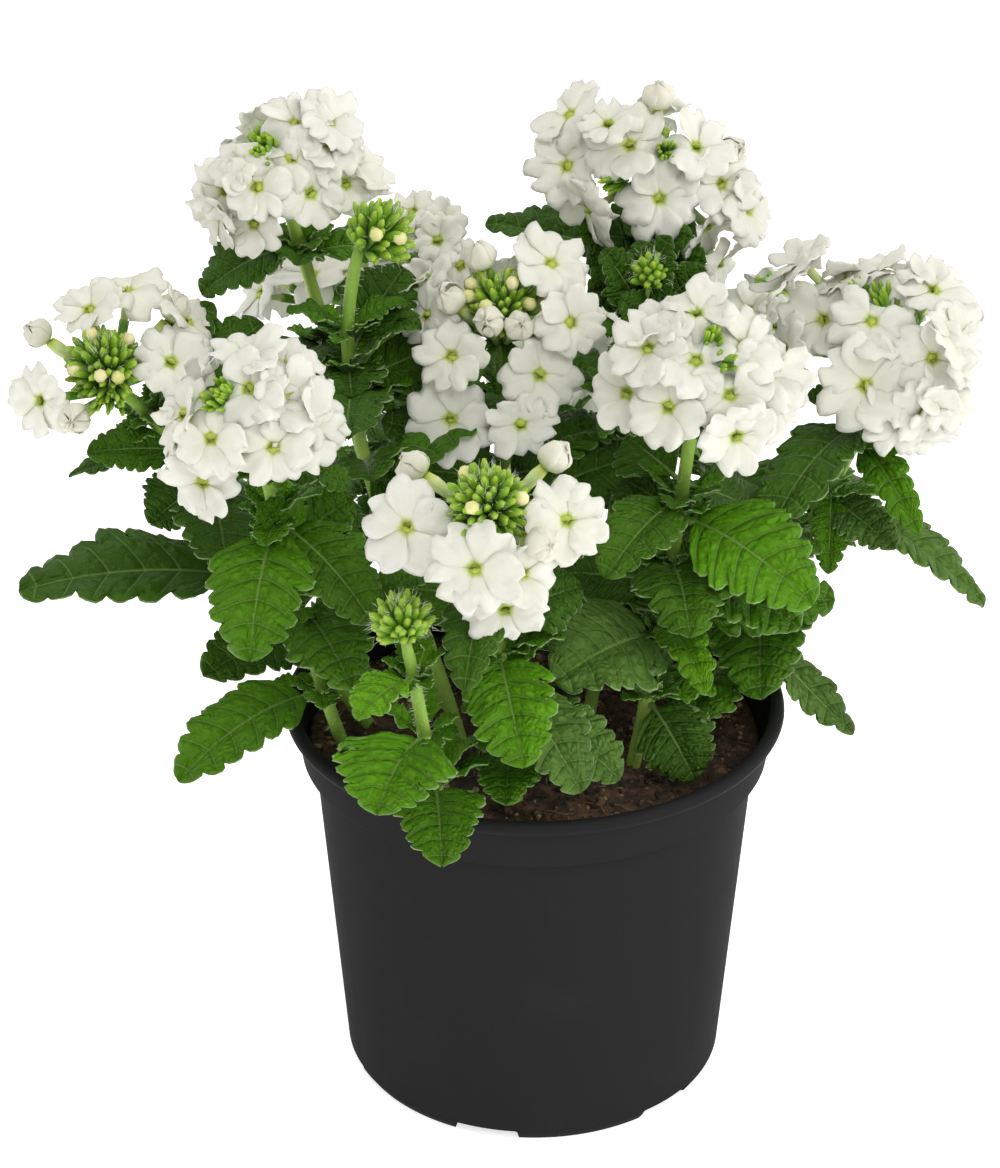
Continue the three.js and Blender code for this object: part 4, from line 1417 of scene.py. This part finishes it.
# ---------------------------------------------------------------- florets
@dataclass(frozen=True)
class Floret:
    """One floret: a tube from its calyx to five notched lobes, flat when open and cupped when not."""

    root: Vector
    face: Vector
    normal: Vector
    seed: int
    radius: float
    closed: bool = False
    tufts: tuple[Vector, ...] = ()
    columns: int = 11
    rows: int = 7
    lobe_turn: float = 72
    throat: float = 0.9
    usual_radius: float = 11.5
    tuft_clearance: float = 5.5
    bud: Colour = (0.86, 0.92, 0.62)

    def build(self, petals: Piece, tubes: Piece, calyces: Piece) -> None:
        """Adds the lobes, the tube and the calyx to their pieces.

        Args:
            petals: the piece that gets the lobes.
            tubes: the piece that gets the tube.
            calyces: the piece that gets the calyx.
        """
        rng = random.Random(self.seed)
        across = self.normal.cross(Vector((0.3, 1, 0.2))).normalized()
        upward = self.normal.cross(across)
        spin = rng.random() * self.lobe_turn
        cream = 0.75 if self.closed else 0.3 * rng.random()
        warm = blend((1.0, 1.0, 1.0), (1.0, 0.98, 0.86), cream)
        add_lobe = self._folded_lobe if self.closed else self._lobe
        for lobe in range(5):
            turn = math.radians(spin + self.lobe_turn * lobe + rng.uniform(-7, 7))
            add_lobe(petals, rng, across * math.cos(turn) + upward * math.sin(turn), warm)
        self._tube(tubes, calyces, rng)

    def _lobe(self, petals: Piece, rng: random.Random, out: Vector, warm: Colour) -> None:
        """Adds one lobe, notched at its tip, that grows outwards.

        Args:
            petals: the piece that gets it.
            rng: where its differences come from.
            out: the way that it grows.
            warm: its tint.
        """
        beside = self.normal.cross(out)
        radius = self.radius * rng.uniform(0.92, 1.08)
        broad, small = radius * rng.uniform(0.45, 0.55), self.radius / self.usual_radius
        tilt, twist = rng.uniform(-0.3, 0.3), rng.uniform(-0.3, 0.3)
        wave, phase, curl = rng.uniform(0.3, 0.95) * small, rng.random() * math.tau, rng.uniform(-1.3, 0.9) * small
        notch, droop, lopsided = rng.uniform(0.08, 0.28), rng.uniform(0.2, 2.6) * small, rng.uniform(-0.12, 0.12)
        if any((self.face + out * radius * 0.6 - tuft).length < self.tuft_clearance for tuft in self.tufts):
            tilt, droop, radius = tilt - 0.8, droop + 1.2, radius * 0.85

        def surface(u: float, v: float) -> Vector:
            """The point of the lobe for a place on its grid.

            Args:
                u: the share across.
                v: the share along.

            Returns:
                The point.
            """
            s = 2 * u - 1
            off = abs(s)
            reach = radius * (1 - 0.33 * off**3 - notch * math.exp(-(((s - lopsided) / 0.22) ** 2)) + lopsided * s)
            r = mix(self.throat, reach, v)
            x = s * mix(0.7, broad, math.sin(math.pi / 2 * min(1, v / 0.72)) ** 1.3)
            z = -1.5 * (1 - v) ** 2.4 + tilt * r * v - droop * v**3 + twist * x * v + 0.1 * x
            z += wave * math.sin(phase + 4 * s + 2 * v) * v * v + curl * off**3 * v - 0.3 * math.cos(s * 5) * v * v
            z += 0.25 * math.sin(phase * 3 + 10 * s) * v**4
            z += noise.noise(Vector((x * 0.5, r * 0.5, phase * 9))) * 1.9 * v * small
            return self.face + out * r + beside * x + self.normal * z

        petals.sheet(self.columns, self.rows, surface, lambda u, v: warm)

    def _folded_lobe(self, petals: Piece, rng: random.Random, out: Vector, warm: Colour) -> None:
        """Adds one lobe of a floret that is about to open: it folds in over the throat.

        Args:
            petals: the piece that gets it.
            rng: where its differences come from.
            out: the way that it starts.
            warm: its tint.
        """
        beside = self.normal.cross(out)
        size, gap = rng.uniform(2.9, 3.9), rng.uniform(0.05, 0.25)
        wave, phase, span = rng.uniform(0.15, 0.5), rng.random() * math.tau, rng.uniform(44, 58)
        fold = rng.uniform(0.92, 1.14)

        def surface(u: float, v: float) -> Vector:
            """The point of the lobe for a place on its grid.

            Args:
                u: the share across.
                v: the share along.

            Returns:
                The point.
            """
            s = 2 * u - 1
            arc = math.pi * mix(0.12, fold, v)
            r = size * math.sin(arc) + gap * (1 - v) + wave * math.sin(phase + 4 * s + 3 * v) * v
            z = -1.2 + size * 0.92 * (1 - math.cos(arc)) - 0.8 * s * s * v + 0.3 * math.sin(phase + 5 * s) * v
            turn = math.radians(span) * s * mix(0.8, 1.0, v)
            at = (out * math.cos(turn) + beside * math.sin(turn)) * r + self.normal * z
            return self.face + at + noise.noise_vector(at * 0.4 + out * phase) * 1.2 * v

        petals.sheet(self.columns, self.rows, surface, lambda u, v: blend(self.bud, warm, ease(v, 0, 0.4)))

    def _tube(self, tubes: Piece, calyces: Piece, rng: random.Random) -> None:
        """Adds the tube, whose mouth ends in a small pit painted near-black green as the shade down the tube, and the
        calyx round its lower half.

        Args:
            tubes: the piece that gets the tube.
            calyces: the piece that gets the calyx.
            rng: where its differences come from.
        """
        neck = self.face - self.normal * 1.5
        middle = self.root.lerp(neck, 0.55) + (self.face - self.root).normalized() * 0.6
        line = [self.root, middle, neck - self.normal * 3, neck]
        path = [bezier(line, s) for s in (0.0, 0.25, 0.5, 0.75, 1.0)]
        low, high = (0.32, 0.44, 0.12), (0.58, 0.68, 0.3)
        thick = 1.45 if self.closed else 1.0
        radii = [0.75 * thick, 0.8 * thick, 0.95 * thick, 1.15 * thick, 1.3]
        tints = [low, low, blend(low, high, 0.5), high, (0.5, 0.6, 0.08)]
        # The mouth: a yellow-green ring, then a small pit whose near-black green is painted shade down the tube.
        path += [self.face - self.normal * 1.15, self.face - self.normal * 2.2]
        tubes.sweep(path, [*radii, 1.0, 0.45], [*tints, (0.3, 0.4, 0.04), (0.06, 0.1, 0.01)], sides=8)
        length = rng.uniform(0.42, 0.52)
        shell = [bezier(line, s * length) for s in (0, 0.3, 0.6, 0.85, 1.0)]
        green = blend(Tone.DEEP.value, Tone.BRIGHT.value, rng.random())
        calyces.sweep(shell, [0.9, 1.25, 1.2, 1.25, 1.3], [green] * 4 + [(0.25, 0.36, 0.08)], sides=6, flute=0.84)


@dataclass(frozen=True)
class Head:
    """A flower head: florets over a ball, round a dome of pointed green calyces.

    A band gives the degrees from the head's axis between which florets may stand where none are given.
    """

    shoot: Shoot
    bands: ClassVar[dict[HeadKind, tuple[float, float]]] = {HeadKind.FULL: (8, 104), HeadKind.OPEN: (58, 100)}
    spots: int = 220
    spacing: float = 1.6
    stagger: float = 0.03
    cup_reach: float = 0.95
    cup_height: float = 3.0
    hidden_reach: float = 0.88
    tuft_spikes: int = 16
    spike_profile: tuple[float, ...] = (0.42, 0.82, 1.0, 0.82, 0.32)
    stout: float = 1.12
    hair_radius: float = 0.045

    @property
    def centre(self) -> Vector:
        """The middle of the head."""
        return Vector(self.shoot.head)

    @property
    def axis(self) -> Vector:
        """The way that the head faces."""
        return Vector(self.shoot.crown or self.shoot.axis).normalized()

    def toward(self, polar: float, turn: float) -> Vector:
        """A direction from the middle of the head.

        Args:
            polar: the degrees from its axis.
            turn: the degrees round it.

        Returns:
            The unit direction.
        """
        first = (Vector((1, 0, 0)) - self.axis * self.axis.x).normalized()
        second = self.axis.cross(first)
        a, b = math.radians(polar), math.radians(turn)
        return self.axis * math.cos(a) + (first * math.cos(b) + second * math.sin(b)) * math.sin(a)

    def florets(self) -> list[Floret]:
        """Sets out the florets: the ones that are given, then others where there is room.

        Returns:
            The head's florets.
        """
        if self.shoot.kind is HeadKind.BUDS:
            return []
        seed = self.shoot.number * 100
        reach = self.shoot.reach
        apart = self.spacing * self.shoot.radius / reach
        ways: list[tuple[Vector, float, bool, float, float]] = []
        for k, bloom in enumerate(Bloom(*given) for given in self.shoot.blooms):
            way, far = VIEW.onto_ball((bloom.x, bloom.y), self.centre, reach * bloom.out)
            ways.append((way, far * (1 + self.stagger * (-1) ** k), False, bloom.facing, bloom.size))
        for bloom in (Bloom(*given) for given in self.shoot.cups):
            way, far = VIEW.onto_ball((bloom.x, bloom.y), self.centre, reach * bloom.out * self.cup_reach)
            ways.append((way, far - self.cup_height, True, 0.0, 1.0))
        lowest, highest = self.bands[self.shoot.kind]
        stretch = self.hidden_reach if self.shoot.blooms else 1.0
        for k in range(self.spots):
            polar = math.degrees(math.acos(1 - 2 * (k + 0.5) / self.spots))
            way = self.toward(polar, self.shoot.turn + k * GOLDEN_ANGLE)
            hidden = not self.shoot.blooms or way.dot(VIEW.forward) > self.shoot.behind
            if hidden and lowest <= polar <= highest and all(way.angle(other) > apart for other, *_ in ways):
                ways.append((way, reach * stretch, False, 0.0, 1.0))
        return [self._floret(seed + k, *given) for k, given in enumerate(ways)]

    def _floret(self, seed: int, way: Vector, reach: float, closed: bool, shown: float, size: float) -> Floret:
        """The floret that stands in a direction.

        Args:
            seed: what its small differences come from.
            way: the direction from the head's middle.
            reach: how far it stands from there.
            closed: whether it is about to open.
            shown: how far it turns towards the front.
            size: its size beside the others.

        Returns:
            The floret.
        """
        rng = random.Random(seed)
        flat = way - self.axis * way.dot(self.axis)
        out = flat.normalized() if flat.length > 0.05 else self.toward(90, seed)
        root = self.centre + out * 2.6 + self.axis * 1.0
        stray = scatter(rng) * (0.05 if closed else 0.2)
        normal = (way + self.axis * (0.1 if closed else 0.25) - VIEW.forward * shown * 1.6 + stray).normalized()
        tufts = tuple(self.centre + way * far for way, far in self._tufts())
        face, radius = self.centre + way * reach, self.shoot.radius * size
        return Floret(root, face, normal, seed, radius, closed=closed, tufts=tufts)

    def _tufts(self) -> list[tuple[Vector, float]]:
        """The directions and distances of the green tufts between the florets."""
        return [VIEW.onto_ball(pixel, self.centre, self.shoot.reach) for pixel in self.shoot.greens]

    def _spike(self, calyces: Piece, root: Vector, tip: Vector, rng: random.Random, stout: float) -> None:
        """Adds one unopened calyx: five-sided, blunt, with a light tip.

        Args:
            calyces: the piece that gets it.
            root: its root.
            tip: its tip.
            rng: where its differences come from.
            stout: its thickness beside the profile.
        """
        run = tip - root
        bow = self.axis * rng.uniform(0.2, 0.8)
        path = [root, root + run * 0.3 + bow, root + run * 0.62 + bow, root + run * 0.88 + bow * 0.3, tip]
        shade = blend((0.08, 0.22, 0.003), (0.18, 0.39, 0.006), rng.random())
        light = blend(shade, (0.38, 0.53, 0.04), rng.uniform(0.45, 0.9))
        tints = [shade, shade, shade, blend(shade, light, 0.6), light]
        calyces.sweep(path, [r * stout for r in self.spike_profile], tints, sides=5, flute=0.8)

    def build_dome(self, calyces: Piece) -> None:
        """Adds the dome of unopened calyces, the pale buds at its rim, and calyces between the florets.

        Args:
            calyces: the piece that gets them.
        """
        rng, reach = random.Random(self.shoot.name), self.shoot.reach
        size, count, lift = {
            HeadKind.FULL: (5.0, 24, 1.4),
            HeadKind.OPEN: (9.2, 78, 0.95),
            HeadKind.BUDS: (reach * 1.15, round(reach * 8), 0.95),
        }[self.shoot.kind]
        middle = self.centre + self.axis * (2.5 + size * lift)
        low = (self.centre + self.axis * 1.5).lerp(middle, 0.45)
        for k in range(count):
            polar = math.degrees(math.acos(1 - (k + 0.5) / count * 1.25))
            way = self.toward(polar + rng.uniform(-5, 5), k * GOLDEN_ANGLE + rng.uniform(-8, 8))
            self._spike(calyces, low + way * size * 0.18, middle + way * size * rng.uniform(0.82, 1.1), rng, self.stout)
        self._build_tufts(calyces, rng)
        for pixel in self.shoot.knobs:
            way, _ = VIEW.onto_ball(pixel, middle, size * 1.04)
            self._knob(calyces, middle + way * size * 0.45, middle + way * size * 1.08, rng)
        roots = []
        for _ in range(count * 3):
            way = self.toward(rng.uniform(0, 110), rng.uniform(0, 360))
            stray = scatter(rng)
            roots.append((middle + way * size * rng.uniform(0.8, 1), (way + stray * 0.5) * rng.uniform(1.0, 2.0)))
        calyces.hairs(roots, self.hair_radius)

    def _build_tufts(self, calyces: Piece, rng: random.Random) -> None:
        """Adds the tufts of slender calyces between the florets.

        Args:
            calyces: the piece that gets them.
            rng: where their differences come from.
        """
        for way, far in self._tufts():
            for _ in range(self.tuft_spikes):
                stray = scatter(rng)
                tip = self.centre + way * far * rng.uniform(0.97, 1.06) + stray * 2.3
                self._spike(calyces, self.centre + way * (far - 8) + stray * 0.9, tip, rng, 0.7)

    def _knob(self, calyces: Piece, root: Vector, tip: Vector, rng: random.Random) -> None:
        """Adds a closed bud, cream above its green calyx.

        Args:
            calyces: the piece that gets it.
            root: its root.
            tip: its tip.
            rng: where its colour comes from.
        """
        cream = blend((0.66, 0.66, 0.24), (0.8, 0.72, 0.42), rng.random())
        path = [root + (tip - root) * share for share in (0, 0.5, 0.7, 0.88, 1)]
        tints = [Tone.BRIGHT.value, (0.35, 0.45, 0.1), cream, cream, cream]
        calyces.sweep(path, [0.7, 1.15, 1.6, 1.45, 0.3], tints, sides=7)


# ---------------------------------------------------------------- shoots
class Bend:
    """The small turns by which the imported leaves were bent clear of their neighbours."""

    steps = (9, 18, 27, 36)
    match = 0.15

    def __init__(self) -> None:
        """Lists the turns to try; each packed shoot's corners are collected when it is first asked for."""
        self.corners: dict[str, KDTree] = {}
        self.turns = [(0, 0)]
        for step in self.steps:
            self.turns += [(0, step), (0, -step), (step, 0), (-step, 0)]
            self.turns += [(step, step), (-step, step), (step, -step), (-step, -step)]

    def tip(self, node: str, foot: Vector, tip: Vector) -> Vector:
        """The place of a leaf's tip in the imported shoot.

        Args:
            node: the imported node.
            foot: the leaf's foot.
            tip: its tip before bending.

        Returns:
            The bent tip, or the tip as it was if the shoot has no such corner.
        """
        if node not in self.corners:
            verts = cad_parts[node].data.vertices
            tree = KDTree(len(verts))
            for k, vert in enumerate(verts):
                tree.insert(vert.co / MM, k)
            tree.balance()
            self.corners[node] = tree
        for turn, pitch in self.turns:
            along = tip - foot
            side = along.cross(UP).normalized()
            bent = foot + turned(turned(along, side, pitch), UP, turn)
            if self.corners[node].find(bent)[2] < self.match:
                return bent
        log.warning("%s: no corner for the leaf tip at %s", node, tuple(round(c) for c in tip))
        return tip


@dataclass(frozen=True)
class Growth:
    """A shoot's own build: its stem, its leaves, its young tufts and its head."""

    shoot: Shoot
    depth: float = 7.0
    stem_radius: float = 1.75
    stations: int = 30
    stem_hairs: int = 320
    hair_radius: float = 0.05
    tuft_leaves: int = 8
    filler_turn: float = 0.75

    @property
    def line(self) -> list[Vector]:
        """Lays out the stem.

        Returns:
            Its control points.
        """
        x, y = self.shoot.foot
        head, axis = Vector(self.shoot.head), Vector(self.shoot.axis).normalized()
        foot = Vector((x, y, SOIL.height(x, y) - self.depth))
        lean = foot.lerp(head, 0.4) + Vector((x * 0.1, y * 0.1, 0))
        return [foot, lean, head + axis * ((foot.z - head.z) * 0.35), head]

    def leaves(self, bend: Bend) -> list[Leaf]:
        """Sets out the leaves.

        Args:
            bend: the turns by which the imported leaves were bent.

        Returns:
            The shoot's leaves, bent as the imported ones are.
        """
        node, line = f"shoot_{self.shoot.name}", self.line
        seed = self.shoot.number * 50
        made = []
        for k, leaf in enumerate(self.shoot.leaves):
            foot = bezier(line, leaf.share)
            tip = bend.tip(node, foot, Vector(leaf.tip)) - UP * leaf.sunk
            lobes = 5 if leaf.width < 14 else 6
            made.append(Leaf(foot, tip, leaf.width, leaf.roll, leaf.tone, seed + k, lobes, 9, arch=leaf.arch))
        for k, leaf in enumerate(self.shoot.fillers):
            tip = VIEW.at_depth(leaf.tip, leaf.depth)
            foot = bezier(line, leaf.share)
            flat, shown = (tip - foot).cross(UP).normalized(), (tip - foot).cross(-VIEW.forward).normalized()
            roll = math.degrees(flat.angle(shown)) * math.copysign(self.filler_turn, flat.cross(shown).dot(tip - foot))
            made.append(Leaf(foot, tip, leaf.width, roll, leaf.tone, seed + 10 + k, 6, 6, 12, arch=0.15))
        for k, pair in enumerate(self.shoot.pairs):
            for half in (0, 180):
                foot = bezier(line, pair.share)
                turn, pitch = math.radians(pair.compass + half), math.radians(pair.pitch)
                run = Vector((math.cos(turn) * math.cos(pitch), math.sin(turn) * math.cos(pitch), math.sin(pitch)))
                tip = bend.tip(node, foot, foot + run * pair.length)
                number = seed + 20 + 2 * k + half // 180
                made.append(Leaf(foot, tip, pair.width, 0, pair.tone, number, 6, 6, 10))
        return made

    def tufts(self) -> list[Leaf]:
        """Sets out small young leaves where the larger ones spring.

        Returns:
            The leaves.
        """
        line, rng = self.line, random.Random(self.shoot.name + "tuft")
        shares = sorted({leaf.share for leaf in (*self.shoot.leaves, *self.shoot.pairs) if leaf.share > 0.15})
        made = []
        for share in shares:
            foot, way = bezier(line, share), heading(line, share)
            start = rng.random() * 360
            for k in range(self.tuft_leaves):
                out = outward(way, start + 360 / self.tuft_leaves * k + rng.uniform(-15, 15))
                length = rng.uniform(7, 17) if share < 0.8 else rng.uniform(6, 11)
                tip = foot + (out * rng.uniform(0.75, 1) + way * rng.uniform(0.2, 0.9)).normalized() * length
                tone = Tone.YOUNG if rng.random() < 0.5 else Tone.BRIGHT
                skin = foot + out * 0.8
                made.append(Leaf(skin, tip, length * 0.55, 0, tone, k, 5, 3, 4, arch=0.12, stalk_steps=4))
        return made

    def build_stem(self, stems: Piece) -> None:
        """Adds the squarish stem, thicker at its nodes, and its hairs.

        Args:
            stems: the piece that gets them.
        """
        line, rng = self.line, random.Random(self.shoot.name + "stem")
        nodes = [leaf.share for leaf in (*self.shoot.leaves, *self.shoot.pairs)]
        path, radii, tints = [], [], []
        for k in range(self.stations + 1):
            s = k / self.stations
            swell = max((math.exp(-(((s - n) / 0.018) ** 2)) for n in nodes), default=0)
            path.append(bezier(line, s))
            radii.append(self.stem_radius * (1.05 - 0.2 * s) * (1 + 0.18 * swell))
            tints.append(blend((0.33, 0.5, 0.07), (0.24, 0.42, 0.05), 0.5 + 0.5 * math.sin(9 * s + self.shoot.turn)))
        path.append(path[-1] + Vector(self.shoot.axis).normalized() * 6)
        stems.sweep(path, [*radii, 1.0], [*tints, tints[-1]], sides=8, flute=0.87)
        roots = []
        for _ in range(self.stem_hairs):
            s = rng.uniform(0.06, 1)
            way = heading(line, s)
            out = outward(way, rng.random() * 360)
            roots.append((bezier(line, s) + out * 1.4, (out + way * rng.uniform(-0.2, 0.6)) * rng.uniform(0.6, 1.3)))
        stems.hairs(roots, self.hair_radius)


@dataclass(frozen=True)
class Finishes:
    """The plant's materials."""

    blade: bpy.types.Material
    underside: bpy.types.Material
    stalk: bpy.types.Material
    calyx: bpy.types.Material
    petal: bpy.types.Material
    tube: bpy.types.Material
    fuzz: bpy.types.Material


@dataclass(frozen=True)
class Plant:
    """All the shoots of the plant."""

    finishes: Finishes
    leaf_wall: float = 0.32
    petal_wall: float = 0.13

    def build(self) -> None:
        """Models every shoot, and gives its pieces their finishes."""
        bend = Bend()
        for shoot in SHOOTS:
            self._shoot(shoot, bend)

    def _shoot(self, shoot: Shoot, bend: Bend) -> None:
        """Models one shoot: its leaves, its stem, its green buds and its white florets.

        Args:
            shoot: its plan.
            bend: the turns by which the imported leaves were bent.
        """
        node = f"shoot_{shoot.name}"
        growth, head = Growth(shoot), Head(shoot)
        blades, stems, calyces = (Piece(f"{part}_{shoot.name}") for part in ("leaves", "stem", "calyces"))
        for leaf in (*growth.leaves(bend), *growth.tufts()):
            leaf.build(blades, stems)
        growth.build_stem(stems)
        head.build_dome(calyces)
        florets = head.florets()
        looks = self.finishes
        if florets:
            petals, tubes = Piece(f"petals_{shoot.name}"), Piece(f"tubes_{shoot.name}")
            for floret in florets:
                floret.build(petals, tubes, calyces)
            whites = [f"florets_{shoot.name}"]
            petals.finish([looks.petal], "petals", whites, self.petal_wall)
            tubes.finish([looks.tube], "petals", whites)
        blades.finish([looks.blade, looks.underside], "foliage", [node], self.leaf_wall, 1)
        stems.finish([looks.stalk, looks.fuzz], "foliage", [node])
        calyces.finish([looks.calyx, looks.fuzz], "foliage", [node])


# ---------------------------------------------------------------- floor and light
@dataclass(frozen=True)
class SoftLamp:
    """A large square lamp that shines at the plant."""

    name: str
    at: Point
    size: float
    power: float
    colour: Colour = (1.0, 1.0, 1.0)
    aim: Point = (0, 0, 0.13)

    def build(self) -> None:
        """Makes the lamp and turns it to the plant's middle."""
        data = bpy.data.lights.new(self.name, "AREA")
        data.shape = "SQUARE"
        data.size, data.energy, data.color = self.size, self.power, self.colour
        lamp = bpy.data.objects.new(self.name, data)
        lamp.location = self.at
        lamp.rotation_mode = "QUATERNION"
        lamp.rotation_quaternion = (Vector(self.aim) - Vector(self.at)).to_track_quat("-Z", "Y")
        bpy.context.scene.collection.objects.link(lamp)


@dataclass(frozen=True)
class Studio:
    """The plain floor and the soft light."""

    floor_half: float = 6.0
    sky: float = 0.72
    lamps: tuple[SoftLamp, ...] = (
        SoftLamp("key", (0.35, -1.2, 1.45), 0.8, 9, (1.0, 0.985, 0.95)),
        SoftLamp("side", (1.45, -0.25, 0.7), 0.8, 8),
        SoftLamp("top", (-0.4, 0.45, 1.6), 0.9, 5, (1.0, 0.985, 0.95)),
    )

    def build(self) -> None:
        """Makes the floor, the sky and the lamps."""
        bm = bmesh.new()
        bmesh.ops.create_grid(bm, x_segments=1, y_segments=1, size=self.floor_half)
        mesh = bpy.data.meshes.new("floor")
        bm.to_mesh(mesh)
        bm.free()
        mesh.materials.append(PaleFloor().material())
        floor = bpy.data.objects.new("floor", mesh)
        bpy.context.scene.collection.objects.link(floor)
        for lamp in self.lamps:
            lamp.build()
        world = bpy.data.worlds.new("sky")
        world.use_nodes = True
        backdrop = world.node_tree.nodes["Background"].inputs
        backdrop["Color"].default_value = (1, 1, 1, 1)
        backdrop["Strength"].default_value = self.sky
        bpy.context.scene.world = world
        bpy.context.scene.view_settings.view_transform = "Standard"


def main() -> None:
    """Builds the view, the light, the pot, the soil and the plant."""
    logging.basicConfig(level=logging.INFO, format="%(name)s: %(message)s")
    noise.seed_set(NOISE_SEED)
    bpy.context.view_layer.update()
    VIEW.build()
    Studio().build()
    Pot().build(PotPlastic().material())
    SOIL.build(Peat().material(), Crumb().material())
    Plant(
        Finishes(
            blade=LeafFace("leaf_face").material(),
            underside=LeafFace("leaf_underside", paleness=0.55, relief=0.6).material(),
            stalk=Flesh("stalk").material(),
            calyx=Flesh("calyx", 0.45).material(),
            petal=PetalSkin().material(),
            tube=Flesh("floret_tube", 0.4).material(),
            fuzz=Fuzz().material(),
        )
    ).build()


if __name__ == "__main__":
    main()
